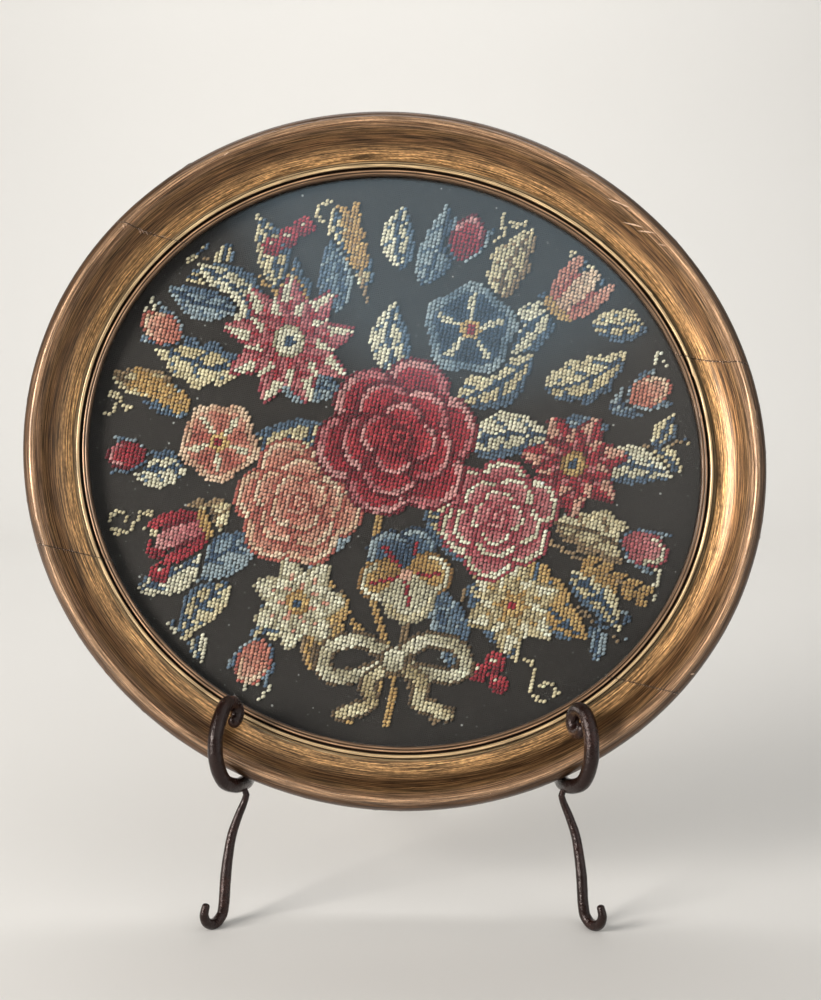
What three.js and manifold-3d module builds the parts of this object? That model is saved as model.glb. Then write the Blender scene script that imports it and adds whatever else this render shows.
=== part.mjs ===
// A woolwork panel under glass in an oval gilt frame, held by a wrought-iron easel.
// Millimetres, +Z up, the panel faces -Y and stands on the plane z = 0.
import * as THREE from "three";
import Module from "manifold-3d";
import { mergeVertices } from "three/addons/utils/BufferGeometryUtils.js";

const wasm = await Module();
wasm.setup();

const deg = THREE.MathUtils.degToRad;

// Driving dimensions of the panel. The sight is the opening that shows the needlework.
const SIGHT_A = 164; // half the long axis of the sight
const SIGHT_B = 152; // half the short axis
const ROLL = deg(-15); // the long axis drops to the right on the hooks
const LEAN = deg(12); // the panel leans back by this much
const GAP = 0.3; // clearance between pieces that touch

// The moulding's section: w runs outwards from the sight edge, n forwards from the back.
const LIP_BACK = 9.5; // underside of the lip that the glass lies against
const RABBET = 6.3; // width of the rabbet
const FILLET_TOP = 12.6;
const BEAD = { w: 5.15, n: 13.1, r: 1.1 };
const COVE = { w0: 7.2, n0: 11.9, w1: 24.3, n1: 26.4 };
const CREST = { w: 26, n: 26.1, r: 1.9 };
const WALL = { w: 32, n: 19.5 }; // the widest line of the outer side
const BACK_W = 31; // the outer edge at the back
const JOINTS = { above: 87, below: 88, turn: deg(2) }; // the straight joints, from the long axis

// What the rabbet holds, from the back: board, needlework, glass.
const BOARD = { n0: 0.4, n1: 3.0 };
const CLOTH = { n: 4.35, thick: 1.5, ripple: 0.25 };
const GLASS = { n0: 7.2, n1: 9.2 };
const INSERT_W = RABBET - 0.5; // how far the inserts reach under the lip

// The easel: two hooked side rods, two scroll-footed front legs, two bars and a rear leg.
const ROD_R = 3.9; // side rods
const LEG_R = 2.9; // front legs
const BAR_R = 3.5; // cross bars
const STRUT_R = 4; // rear leg
const SADDLE_X = 83.5; // half the distance between the hooks where the frame rests on them
const SADDLE_N = 17; // depth of that point, forwards from the frame's back
const SADDLE_Z = 67.5; // its height over the floor
const SPLAY = deg(28); // the hooks turn outwards at the front by this much
const UPRIGHT_TOP = 66; // top of the uprights, up the panel from its centre
const UPRIGHT_X = 44; // their half distance there
const FOOT_CUT = 0.7; // how much is filed off the feet so that they stand flat

const FINISH = {
  gilt: { color: 0x8d6a3c, roughness: 0.42, metalness: 0.6 },
  glass: { color: 0xb9c4c8, roughness: 0.05, metalness: 0 },
  wool: { color: 0x241d1a, roughness: 0.95, metalness: 0 },
  board: { color: 0x6b5a45, roughness: 0.9, metalness: 0 },
  iron: { color: 0x2a211f, roughness: 0.5, metalness: 0.8 },
};

function sightPoint(t, w = 0) {
  const along = new THREE.Vector2(SIGHT_B * Math.cos(t), SIGHT_A * Math.sin(t)).normalize();
  return new THREE.Vector2(SIGHT_A * Math.cos(t), SIGHT_B * Math.sin(t)).addScaledVector(along, w);
}

// A stretch of the sight's edge, in the oval's own plane.
class SightArc extends THREE.Curve {
  constructor(from, to) {
    super();
    this.from = from;
    this.to = to;
  }
  getPoint(u) {
    const p = sightPoint(THREE.MathUtils.lerp(this.from, this.to, u));
    return new THREE.Vector3(p.x, p.y, 0);
  }
  getTangent(u) {
    const t = THREE.MathUtils.lerp(this.from, this.to, u);
    return new THREE.Vector3(-SIGHT_A * Math.sin(t), SIGHT_B * Math.cos(t), 0).normalize();
  }
}

// The swept section is drawn as (-n, -w), because the sweep's axes point back and inwards.
function mouldingSection() {
  const s = new THREE.Shape();
  const to = (w, n) => s.lineTo(-n, -w);
  const curve = (cw, cn, w, n) => s.quadraticCurveTo(-cn, -cw, -n, -w);
  s.moveTo(-LIP_BACK, 0);
  to(0, FILLET_TOP - 0.9);
  curve(0.1, FILLET_TOP, 0.8, FILLET_TOP);
  curve(1.4, FILLET_TOP, 1.55, FILLET_TOP - 0.5);
  curve(1.7, FILLET_TOP, 2.3, FILLET_TOP);
  curve(3.1, FILLET_TOP, 3.2, FILLET_TOP - 1.4);
  to(4.0, FILLET_TOP - 1.6);
  for (let i = 0; i <= 6; i++) {
    const a = Math.PI * (1 - i / 6);
    to(BEAD.w + BEAD.r * Math.cos(a), BEAD.n + BEAD.r * Math.sin(a));
  }
  to(6.6, COVE.n0 - 0.4);
  to(COVE.w0, COVE.n0);
  curve(17.5, COVE.n0 + 1.6, COVE.w1, COVE.n1);
  for (let i = 1; i <= 4; i++) {
    const a = Math.PI * (0.92 - 0.8 * (i / 4));
    to(CREST.w + CREST.r * Math.cos(a), CREST.n + CREST.r * Math.sin(a));
  }
  curve(WALL.w - 0.4, CREST.n - 0.6, WALL.w, WALL.n);
  curve(WALL.w + 0.2, WALL.n - 8, BACK_W, 0);
  to(RABBET, 0);
  to(RABBET, LIP_BACK);
  s.closePath();
  return s;
}

// One of the frame's four lengths: swept a little long, then sawn off at the joints' lines.
function mouldingPiece(middle, reach, yMin, yMax) {
  const sweep = new THREE.ExtrudeGeometry(mouldingSection(), {
    extrudePath: new SightArc(middle - reach, middle + reach),
    steps: Math.round((2 * reach) / deg(4.5)),
    curveSegments: 5,
  });
  const saw = new THREE.BoxGeometry(500, yMax - yMin - GAP, 100);
  saw.translate(0, (yMin + yMax) / 2, 0).rotateZ(JOINTS.turn);
  return asGeometry(asManifold(sweep).intersect(asManifold(saw)));
}

function asManifold(geometry) {
  const bare = geometry.clone();
  bare.deleteAttribute("normal");
  bare.deleteAttribute("uv");
  const merged = mergeVertices(bare, 1e-4);
  return new wasm.Manifold(new wasm.Mesh({
    numProp: 3,
    vertProperties: new Float32Array(merged.attributes.position.array),
    triVerts: new Uint32Array(merged.index.array),
  }));
}

function asGeometry(solid) {
  const mesh = solid.getMesh();
  const geometry = new THREE.BufferGeometry();
  geometry.setAttribute("position", new THREE.BufferAttribute(mesh.vertProperties, 3));
  geometry.setIndex(new THREE.BufferAttribute(mesh.triVerts, 1));
  geometry.computeVertexNormals();
  return geometry;
}

function ovalOutline(w, count = 96) {
  const points = [];
  for (let i = 0; i < count; i++) points.push(sightPoint((2 * Math.PI * i) / count, w));
  return new THREE.Shape(points);
}

function ovalSheet(n0, n1) {
  const sheet = new THREE.ExtrudeGeometry(ovalOutline(INSERT_W), { depth: n1 - n0, bevelEnabled: false });
  return sheet.translate(0, 0, n0);
}

// How far the stretched ground stands out of true: a few soft, shallow waves.
function ripple(x, y) {
  const wave = Math.sin(x / 31 + y / 47) + Math.sin(x / 53 - y / 29 + 1.3) + 0.6 * Math.sin((x + y) / 19);
  return (CLOTH.ripple * wave) / 2.6;
}

function groundCloth(rings = 9, spokes = 60) {
  const positions = [];
  const faces = [];
  const node = (ring, spoke, side) => {
    const flat = sightPoint((2 * Math.PI * spoke) / spokes, INSERT_W).multiplyScalar(ring / rings);
    positions.push(flat.x, flat.y, CLOTH.n + ripple(flat.x, flat.y) + (side * CLOTH.thick) / 2);
  };
  for (const side of [1, -1]) {
    node(0, 0, side);
    for (let r = 1; r <= rings; r++) for (let s = 0; s < spokes; s++) node(r, s, side);
  }
  const perSide = 1 + rings * spokes;
  const at = (side, r, s) => (side > 0 ? 0 : perSide) + (r === 0 ? 0 : 1 + (r - 1) * spokes + (s % spokes));
  const add = (a, b, c, flip) => faces.push(...(flip ? [a, c, b] : [a, b, c]));
  for (const side of [1, -1]) {
    for (let s = 0; s < spokes; s++) {
      add(at(side, 0, 0), at(side, 1, s), at(side, 1, s + 1), side < 0);
      for (let r = 1; r < rings; r++) {
        add(at(side, r, s), at(side, r + 1, s), at(side, r + 1, s + 1), side < 0);
        add(at(side, r, s), at(side, r + 1, s + 1), at(side, r, s + 1), side < 0);
      }
    }
  }
  for (let s = 0; s < spokes; s++) {
    add(at(1, rings, s), at(-1, rings, s), at(-1, rings, s + 1), false);
    add(at(1, rings, s), at(-1, rings, s + 1), at(1, rings, s + 1), false);
  }
  const cloth = new THREE.BufferGeometry();
  cloth.setAttribute("position", new THREE.Float32BufferAttribute(positions, 3));
  cloth.setIndex(faces);
  cloth.computeVertexNormals();
  return cloth;
}

// The lowest point of the rolled frame on the upright line x, w out from the sight.
function frameUnderside(x, w) {
  const turned = (t) => sightPoint(t, w).rotateAround(new THREE.Vector2(), ROLL);
  let low = -Math.PI;
  let high = 0;
  for (let i = 0; i < 50; i++) {
    const mid = (low + high) / 2;
    if (turned(mid - ROLL).x < x) low = mid;
    else high = mid;
  }
  return turned(low - ROLL).y;
}

// The rolled oval slides sideways on two level hooks until both carry it.
function levelShift() {
  let low = -30;
  let high = 30;
  for (let i = 0; i < 50; i++) {
    const mid = (low + high) / 2;
    const tilt = frameUnderside(mid - SADDLE_X, WALL.w) - frameUnderside(mid + SADDLE_X, WALL.w);
    if (tilt > 0) low = mid;
    else high = mid;
  }
  return low;
}

const STAND_X = levelShift(); // the easel's middle, to the right of the frame's
const EDGE_SLOPE = deg(25); // steepness of the frame's edge over the hooks
const SADDLE_V = frameUnderside(STAND_X - SADDLE_X, WALL.w) - (ROD_R + GAP) / Math.cos(EDGE_SLOPE);

// The middle of the frame's back, so that the hooks come to their height.
const CENTRE = new THREE.Vector3(0, 0, SADDLE_Z - SADDLE_V * Math.cos(LEAN) - SADDLE_N * Math.sin(LEAN));

function fromPanel(x, v, n) {
  return new THREE.Vector3(
    x,
    CENTRE.y + v * Math.sin(LEAN) - n * Math.cos(LEAN),
    CENTRE.z + v * Math.cos(LEAN) + n * Math.sin(LEAN),
  );
}

// f runs forwards along a hook, which splays outwards in front of the saddle; h is up the panel.
function fromHook(side, f, h) {
  const splay = Math.max(f, 0) * Math.sin(SPLAY);
  return fromPanel(STAND_X + side * (SADDLE_X + splay), SADDLE_V + h, SADDLE_N + f * Math.cos(SPLAY));
}

function rod(curve, radius, steps, sides = 10) {
  const section = new THREE.Shape();
  for (let i = 0; i < sides; i++) {
    const a = (2 * Math.PI * i) / sides;
    if (i === 0) section.moveTo(radius, 0);
    else section.lineTo(radius * Math.cos(a), radius * Math.sin(a));
  }
  section.closePath();
  return new THREE.ExtrudeGeometry(section, { extrudePath: curve, steps });
}

// The forged curl at the end of a hook, from its inner tip out to the hook's front.
function scroll(side, { f, h, tipR, rootR, from, to }) {
  const turns = 9;
  const points = [];
  for (let i = 0; i <= turns; i++) {
    const a = THREE.MathUtils.lerp(from, to, i / turns);
    const r = THREE.MathUtils.lerp(tipR, rootR, i / turns);
    points.push(fromHook(side, f + r * Math.cos(a), h + r * Math.sin(a)));
  }
  return points;
}

const SCROLLS = {
  left: { f: 10, h: 36, tipR: 5.2, rootR: 8, from: deg(262), to: deg(30) },
  right: { f: 12.5, h: 32.5, tipR: 4.8, rootR: 8, from: deg(320), to: deg(20) },
};

// The uprights lean towards each other: half their distance, v up the panel.
function uprightX(v) {
  return THREE.MathUtils.mapLinear(v, SADDLE_V, UPRIGHT_TOP, SADDLE_X, UPRIGHT_X);
}

function sideRod(side, curl) {
  const upright = (v, n) => fromPanel(STAND_X + side * uprightX(v), v, n);
  const lie = -(ROD_R + GAP); // the uprights lie along the frame's back
  return new THREE.CatmullRomCurve3([
    ...scroll(side, curl),
    fromHook(side, 23.6, 26),
    fromHook(side, 22.6, 13),
    fromHook(side, 16, 3.2),
    fromHook(side, 6, 0),
    fromHook(side, -8, 0),
    fromHook(side, -22, 0),
    upright(SADDLE_V + 4, lie - 9),
    upright(SADDLE_V + 17, lie - 9),
    upright(SADDLE_V + 42, lie - 2),
    upright(SADDLE_V + 62, lie),
    upright(-40, lie),
    upright(UPRIGHT_TOP, lie),
  ], false, "centripetal");
}

// A front leg leaves the saddle's underside and ends in a curl that stands on the floor.
const LEG_X = 81.5; // half the distance between the legs where they are welded on
const FOOT = { x: 10.2, y: -17, r: 7, splay: deg(36) };

function frontLeg(side) {
  const weld = fromHook(side, -1, -(ROD_R + 1.5)).setX(STAND_X + side * LEG_X);
  const down = (x, y, z) => new THREE.Vector3(weld.x + side * x, weld.y + y, weld.z + z);
  const out = new THREE.Vector3(side * Math.sin(FOOT.splay), -Math.cos(FOOT.splay), 0);
  const heel = down(FOOT.x, FOOT.y, 0).addScaledVector(out, FOOT.r).setZ(LEG_R - FOOT_CUT + FOOT.r);
  const shin = [down(0.8, 0, -3), down(4.1, -2, -11), down(7, -5, -19.5), down(8.6, -8.5, -29), down(9.5, -12, -38)];
  const curl = [180, 216, 252, 270, 288, 324, 360, 396].map((angle) => {
    const a = deg(angle);
    return heel.clone().addScaledVector(out, FOOT.r * Math.cos(a)).setZ(heel.z + FOOT.r * Math.sin(a));
  });
  return new THREE.CatmullRomCurve3([weld, ...shin, ...curl], false, "centripetal");
}

function crossBar(v, n) {
  const rake = Math.atan2(SADDLE_X - UPRIGHT_X, UPRIGHT_TOP - SADDLE_V);
  const half = uprightX(v) - (ROD_R + GAP) / Math.cos(rake) - BAR_R * Math.tan(rake);
  return new THREE.LineCurve3(fromPanel(STAND_X - half, v, n), fromPanel(STAND_X + half, v, n));
}

const BAR_N = -(ROD_R + GAP);
const UPPER_BAR_V = 46;
const LOWER_BAR_V = -104;
const REAR_FOOT_Y = 122; // how far the rear leg's foot stands behind the panel's centre

function rearLeg() {
  const bar = fromPanel(STAND_X, UPPER_BAR_V, BAR_N);
  const foot = new THREE.Vector3(STAND_X, CENTRE.y + REAR_FOOT_Y, -STRUT_R);
  const away = foot.clone().sub(bar).normalize();
  return new THREE.LineCurve3(bar.addScaledVector(away, BAR_R + GAP), foot);
}

// Files a rod flat where it stands on the floor.
function filedAtFloor(geometry) {
  geometry.computeBoundingBox();
  const { min, max } = geometry.boundingBox;
  const floor = new THREE.BoxGeometry(max.x - min.x + 2, max.y - min.y + 2, 40);
  floor.translate((min.x + max.x) / 2, (min.y + max.y) / 2, -20);
  return asGeometry(asManifold(geometry).subtract(asManifold(floor)));
}

function piece(name, finish, geometry) {
  const mesh = new THREE.Mesh(geometry, new THREE.MeshStandardMaterial(FINISH[finish]));
  mesh.name = name;
  return mesh;
}

const oval = new THREE.Group();
oval.rotation.z = ROLL;
oval.add(
  piece("frame_right", "gilt", mouldingPiece(0, deg(44), -JOINTS.below, JOINTS.above)),
  piece("frame_top", "gilt", mouldingPiece(Math.PI / 2, deg(66), JOINTS.above, 300)),
  piece("frame_left", "gilt", mouldingPiece(Math.PI, deg(44), -JOINTS.below, JOINTS.above)),
  piece("frame_bottom", "gilt", mouldingPiece(-Math.PI / 2, deg(66), -300, -JOINTS.below)),
  piece("glass", "glass", ovalSheet(GLASS.n0, GLASS.n1)),
  piece("woolwork_cloth", "wool", groundCloth()),
  piece("back_board", "board", ovalSheet(BOARD.n0, BOARD.n1)),
);

const panel = new THREE.Group();
panel.rotation.x = Math.PI / 2 - LEAN;
panel.position.copy(CENTRE);
panel.add(oval);

const easel = new THREE.Group();
for (const [word, side] of [["left", -1], ["right", 1]]) {
  easel.add(piece(`side_rod_${word}`, "iron", rod(sideRod(side, SCROLLS[word]), ROD_R, 84)));
  easel.add(piece(`front_leg_${word}`, "iron", filedAtFloor(rod(frontLeg(side), LEG_R, 34))));
}
easel.add(
  piece("cross_bar_upper", "iron", rod(crossBar(UPPER_BAR_V, BAR_N), BAR_R, 1)),
  piece("cross_bar_lower", "iron", rod(crossBar(LOWER_BAR_V, BAR_N), BAR_R, 1)),
  piece("rear_leg", "iron", filedAtFloor(rod(rearLeg(), STRUT_R, 1))),
);

// The origin is on the floor under the middle of the whole.
const group = new THREE.Group();
group.add(panel, easel);
group.updateMatrixWorld(true);
const middle = new THREE.Box3().setFromObject(group, true).getCenter(new THREE.Vector3());
group.position.set(-middle.x, -middle.y, 0);

export default group;
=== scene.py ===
"""Framed woolwork panel on an iron easel: the finished look over the CAD frame.

Lengths in this file are millimetres until a mesh is finished, then metres as in the frame.
"""
import math

import bpy
import numpy as np
from mathutils import Matrix, Vector


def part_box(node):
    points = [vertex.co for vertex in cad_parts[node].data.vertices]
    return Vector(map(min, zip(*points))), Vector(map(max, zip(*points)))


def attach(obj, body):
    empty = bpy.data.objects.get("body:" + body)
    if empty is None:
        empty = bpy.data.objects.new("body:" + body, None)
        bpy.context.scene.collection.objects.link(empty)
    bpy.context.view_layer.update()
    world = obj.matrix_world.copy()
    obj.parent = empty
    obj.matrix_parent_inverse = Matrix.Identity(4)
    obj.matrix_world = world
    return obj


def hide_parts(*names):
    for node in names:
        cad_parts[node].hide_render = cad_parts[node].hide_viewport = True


bl_info = {
    "name": "Woolwork Panel on an Easel",
    "version": (1, 0, 0),
    "blender": (4, 5, 0),
    "location": "View3D > Sidebar > Woolwork",
    "description": "Builds the gilt frame, glass, wool stitches and iron easel over the CAD frame",
    "category": "Object",
}

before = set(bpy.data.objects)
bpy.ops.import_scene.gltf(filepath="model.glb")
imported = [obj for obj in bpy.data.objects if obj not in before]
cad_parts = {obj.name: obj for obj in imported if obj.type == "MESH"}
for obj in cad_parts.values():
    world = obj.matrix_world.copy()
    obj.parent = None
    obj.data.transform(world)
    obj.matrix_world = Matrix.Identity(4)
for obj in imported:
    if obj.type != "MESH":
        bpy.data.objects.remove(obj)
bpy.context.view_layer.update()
MM = 0.001
TURN = 2 * math.pi

# The panel's own plane, in the part's sizes: x to the right, v up, n out of the front.
LEAN = math.radians(12)
ROLL = math.radians(-15)
SIGHT_A = 164.0
SIGHT_B = 152.0
GAP = 0.3
GLASS_MID = 8.2
OUT = np.array((0.0, -math.cos(LEAN), math.sin(LEAN)))
UP = np.array((0.0, math.sin(LEAN), math.cos(LEAN)))


def box_mm(node):
    low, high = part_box(node)
    return np.array(low) / MM, np.array(high) / MM


GLASS_CENTRE = sum(box_mm("glass")) / 2
CENTRE = GLASS_CENTRE - OUT * GLASS_MID


def from_panel(x, v, n):
    """Points of the upright panel plane, x in the whole part's frame."""
    x, v, n = np.broadcast_arrays(*(np.asarray(k, float) for k in (x, v, n)))
    spot = CENTRE + v[..., None] * UP + n[..., None] * OUT
    spot[..., 0] = x
    return spot


def panel_matrix(rolled):
    """Takes plane millimetres (x, v, n) to metres in the frame; rolled for the oval's own axes."""
    rows = (np.stack([(1.0, 0.0, 0.0), UP, OUT, CENTRE], 1) * MM).tolist()
    plane = Matrix([*rows, (0.0, 0.0, 0.0, 1.0)])
    return plane @ Matrix.Rotation(ROLL, 4, "Z") if rolled else plane


def turned(x, y, angle):
    """Plane coordinates turned to the left by the angle."""
    return x * math.cos(angle) - y * math.sin(angle), x * math.sin(angle) + y * math.cos(angle)


# ---- settings ----


def number(name, note, default, low=0.0, high=100.0, **more):
    return bpy.props.FloatProperty(name=name, description=note, default=default, min=low, max=high, **more)


def angle(name, note, degrees, low=-180.0, high=180.0):
    return number(name, note, math.radians(degrees), math.radians(low), math.radians(high), unit="ROTATION")


def tint(name, note, default):
    return bpy.props.FloatVectorProperty(name=name, description=note, default=default, subtype="COLOR", min=0, max=1)


class FrameSettings(bpy.types.PropertyGroup):
    step: angle("Sweep step", "Angle between two cuts of the swept moulding", 0.6, 0.2, 6)
    wave: number("Unevenness", "How far the hand-planed wood strays from true, in millimetres", 0.22, 0, 1)
    gold: tint("Gold", "Colour of the rubbed bronze-gold leaf", (0.52, 0.285, 0.115))
    # The umber, darkened, also serves for the painted shade in the grooves and on the outer wall.
    umber: tint("Umber glaze", "Colour of the dark glaze in the hollow", (0.060, 0.027, 0.010))
    # The crest gold, brightened, also paints the highlight lines on the fillet's two reeds.
    crest: tint("Crest gold", "Colour of the pinkish gold on the crest and fillet", (0.56, 0.335, 0.19))


class WoolSettings(bpy.types.PropertyGroup):
    column_pitch: number("Column pitch", "Distance between stitch columns, in millimetres", 2.12, 1, 5)
    row_pitch: number("Row pitch", "Distance between stitch rows, in millimetres", 1.95, 1, 5)
    grid_turn: angle("Canvas turn", "How far the canvas is turned in the frame", -11.5)
    slant: angle("Stitch slant", "Direction of a stitch over its canvas crossing", 48)
    length: number("Stitch length", "Half length in millimetres", 1.42, 0.3, 3)
    width: number("Stitch width", "Half width in millimetres", 0.94, 0.2, 3)
    height: number("Stitch height", "Half height in millimetres", 0.92, 0.2, 2)
    seed: bpy.props.IntProperty(name="Seed", description="Seed of the unevenness between stitches", default=7)
    ground: tint("Ground", "Colour of the dark ground cloth", (0.0150, 0.0122, 0.0102))


class EaselSettings(bpy.types.PropertyGroup):
    rod: number("Side rod radius", "Radius in millimetres", 3.9, 1, 10)
    leg: number("Front leg radius", "Radius in millimetres", 2.9, 1, 10)
    bar: number("Cross bar radius", "Radius in millimetres", 3.5, 1, 10)
    strut: number("Rear leg radius", "Radius in millimetres", 4.0, 1, 10)
    hammer: number("Hammer marks", "Depth of the forging marks in millimetres", 0.16, 0, 1)
    iron: tint("Iron", "Colour of the dark wrought iron", (0.018, 0.0078, 0.0062))


class StageSettings(bpy.types.PropertyGroup):
    floor: tint("Floor", "Colour of the pale floor", (0.78, 0.77, 0.75))
    key: number("Key light", "Power of the large soft light", 40, unit="POWER")
    fill: number("Fill light", "Power of the soft fill", 5, unit="POWER")
    wall: number("Wall light", "Power of the light on the wall behind", 16, unit="POWER")
    world: number("Room light", "Strength of the soft light from above", 1.6)


def settings(kind):
    return getattr(bpy.context.scene, f"woolwork_{kind}")


# ---- nodes ----


class Wire:
    """One output of a node. A sum written with it lays math nodes in its tree."""

    def __init__(self, socket):
        self.socket = socket

    def also(self, name):
        return Wire(self.socket.node.outputs[name])

    def __add__(self, other):
        return reckon("ADD", self, other)

    def __sub__(self, other):
        return reckon("SUBTRACT", self, other)

    def __mul__(self, other):
        return reckon("MULTIPLY", self, other)

    def __truediv__(self, other):
        return reckon("DIVIDE", self, other)


def put(node, **values):
    """Sets sockets, told by name or by _number: a value, or a wire to link from."""
    for name, value in values.items():
        socket = node.inputs[int(name[1:])] if name[0] == "_" else node.inputs[name.replace("_", " ")]
        if isinstance(value, Wire):
            node.id_data.links.new(value.socket, socket)
        else:
            socket.default_value = value
    return node


def add(tree, kind, traits=(), output=0, **values):
    """Adds a node with its traits and sockets, and gives one of its outputs."""
    node = tree.nodes.new(kind)
    for name, value in dict(traits).items():
        setattr(node, name, value)
    return Wire(put(node, **values).outputs[output])


def reckon(operation, *values, clamp=False):
    """A math node over wires and numbers."""
    tree = next(value for value in values if isinstance(value, Wire)).socket.id_data
    return add(tree, "ShaderNodeMath", {"operation": operation, "use_clamp": clamp},
               **{f"_{k}": value for k, value in enumerate(values)})


def highest(first, *others):
    for other in others:
        first = reckon("MAXIMUM", first, other)
    return first


def dot(where, direction):
    return add(where.socket.id_data, "ShaderNodeVectorMath", {"operation": "DOT_PRODUCT"}, "Value",
               _0=where, _1=direction)


def noise(where, scale, detail=2.0, roughness=0.5, seed=None, **more):
    """Cloudy noise at a place, moved on by a seed where one is given."""
    if seed is not None:
        more["W"] = seed
    return add(where.socket.id_data, "ShaderNodeTexNoise", {"noise_dimensions": "3D" if seed is None else "4D"},
               Vector=where, Scale=scale, Detail=detail, Roughness=roughness, **more)


def blend(mask, low, high, mode="MIX"):
    """Two colours mixed by the mask."""
    tree = (mask if isinstance(mask, Wire) else low).socket.id_data
    low, high = (colour if isinstance(colour, Wire) else (*colour, 1.0) for colour in (low, high))
    return add(tree, "ShaderNodeMix", {"data_type": "RGBA", "blend_type": mode, "clamp_result": False}, 2,
               _0=mask, _6=low, _7=high)


def ramp(factor, *stops):
    """Numbers or colours over the factor, from stops of a place and a value."""
    node = factor.socket.id_data.nodes.new("ShaderNodeValToRGB")
    band = node.color_ramp.elements
    while len(band) < len(stops):
        band.new(0.5)
    for element, (spot, colour) in zip(band, stops):
        element.position = spot
        element.color = (*np.broadcast_to(colour, 3).astype(float), 1.0)
    return Wire(put(node, _0=factor).outputs[0])


def attribute(tree, name, output="Fac"):
    return add(tree, "ShaderNodeAttribute", {"attribute_name": name}, output)


def body_place(tree):
    return add(tree, "ShaderNodeTexCoord", output="Object")


SOCKETS = {"float": "Float", "int": "Int", "tuple": "Vector", "Material": "Material", "NoneType": "Geometry"}


def new_tree(kind, name, inputs, outputs):
    """A node group, from the names and defaults of its inputs and the names and kinds of its outputs."""
    tree = bpy.data.node_groups.new(name, kind)
    for label, default in inputs.items():
        word = "NodeSocket" + SOCKETS[type(default).__name__]
        socket = tree.interface.new_socket(label, in_out="INPUT", socket_type=word)
        if default is not None:
            socket.default_value = default
    for label, word in outputs.items():
        tree.interface.new_socket(label, in_out="OUTPUT", socket_type="NodeSocket" + word)
    given = {socket.name: Wire(socket) for socket in tree.nodes.new("NodeGroupInput").outputs}
    return tree, given, tree.nodes.new("NodeGroupOutput")


def shader_group(name, inputs, outputs, wire_up):
    """A shader group that is built once and then shared."""
    tree = bpy.data.node_groups.get(name)
    if tree is None:
        tree, given, result = new_tree("ShaderNodeTree", name, {"Vector": (0.0, 0.0, 0.0), **inputs},
                                       dict.fromkeys(outputs, "Float"))
        put(result, **dict(zip(outputs, wire_up(tree, given))))
    return tree


def fibres(where, scale, stretch=(1.0, 1.0, 1.0)):
    """Fine wandering fibres, as in felt, wool or paper: a height, and also a mottle."""
    def wire_up(tree, given):
        long = add(tree, "ShaderNodeVectorMath", {"operation": "MULTIPLY"}, _0=given["Vector"], _1=given["Stretch"])
        return noise(long, given["Scale"], 4.0, 0.65, Distortion=1.2), noise(long, given["Scale"] * 0.06, 3.0, 0.55)

    group = shader_group("Fibre grain", {"Scale": 900.0, "Stretch": (1.0, 1.0, 1.0)}, ("Height", "Mottle"), wire_up)
    return add(where.socket.id_data, "ShaderNodeGroup", {"node_tree": group},
               Vector=where, Scale=scale, Stretch=stretch)


def specks(where, scale, size, share):
    """Scattered dust, lint or pits: one where a random cell is chosen, nought elsewhere."""
    def wire_up(tree, given):
        cells = add(tree, "ShaderNodeTexVoronoi", (), "Color",
                    Vector=given["Vector"], Scale=given["Scale"], Randomness=1.0)
        chosen = add(tree, "ShaderNodeSeparateColor", _0=cells)
        picked = reckon("LESS_THAN", chosen, given["Share"])
        near = reckon("LESS_THAN", cells.also("Distance"), given["Size"] * (chosen.also("Green") + 0.3))
        return (picked * near,)

    group = shader_group("Scattered specks", {"Scale": 300.0, "Size": 0.18, "Share": 0.2}, ("Mask",), wire_up)
    return add(where.socket.id_data, "ShaderNodeGroup", {"node_tree": group}, Vector=where, Scale=scale, Size=size,
               Share=share)


def new_material(name):
    material = bpy.data.materials.new(name)
    material.use_nodes = True
    tree = material.node_tree
    return material, tree, tree.nodes["Principled BSDF"]


def bump(shader, height, strength, distance):
    put(shader, Normal=add(shader.id_data, "ShaderNodeBump", Strength=strength, Distance=distance, Height=height))


# ---- meshes ----


def in_scene(name, data):
    thing = bpy.data.objects.new(name, data)
    bpy.context.collection.objects.link(thing)
    return thing


def mesh_object(name, vertices, faces, attributes=None):
    mesh = bpy.data.meshes.new(name)
    mesh.from_pydata(np.asarray(vertices, float).tolist(), [], faces)
    mesh.update()
    for label, values in (attributes or {}).items():
        values = np.asarray(values, np.float32)
        if values.ndim == 1:
            mesh.attributes.new(label, "FLOAT", "POINT").data.foreach_set("value", values)
        else:
            values = np.hstack([values, np.ones((len(values), 1), np.float32)])
            mesh.attributes.new(label, "FLOAT_COLOR", "POINT").data.foreach_set("color", values.ravel())
    return in_scene(name, mesh)


def skin(rings, count, start=0, outwards=True, capped=False):
    """Faces between closed rings of points, with a many-sided cap at both ends if asked."""
    faces = []
    for ring in range(rings - 1):
        near = start + ring * count
        for s in range(count):
            a, b, c, d = near + s, near + (s + 1) % count, near + count + (s + 1) % count, near + count + s
            faces.append((a, b, c, d) if outwards else (a, d, c, b))
    if capped:
        ends = [tuple(range(start, start + count)), tuple(range(start + (rings - 1) * count, start + rings * count))]
        faces += [ends[0][::-1], ends[1]] if outwards else [ends[0], ends[1][::-1]]
    return faces


def geometry_tree(name, inputs):
    return new_tree("GeometryNodeTree", name, {"Geometry": None, **inputs}, {"Geometry": "Geometry"})


def named(tree, name):
    return add(tree, "GeometryNodeInputNamedAttribute", {"data_type": "FLOAT"}, "Attribute", Name=name)


def here(tree):
    return add(tree, "GeometryNodeInputPosition")


def pushed(tree, geometry, depth):
    """The surface moved along its normals by the depth."""
    normal = add(tree, "GeometryNodeInputNormal")
    push = add(tree, "ShaderNodeVectorMath", {"operation": "SCALE"}, _0=normal, Scale=depth)
    return add(tree, "GeometryNodeSetPosition", Geometry=geometry, Offset=push)


def finish_tree(result, geometry, material):
    tree = result.id_data
    real = add(tree, "GeometryNodeRealizeInstances", _0=geometry)
    put(result, Geometry=add(tree, "GeometryNodeSetMaterial", _0=real, Material=material))


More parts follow.
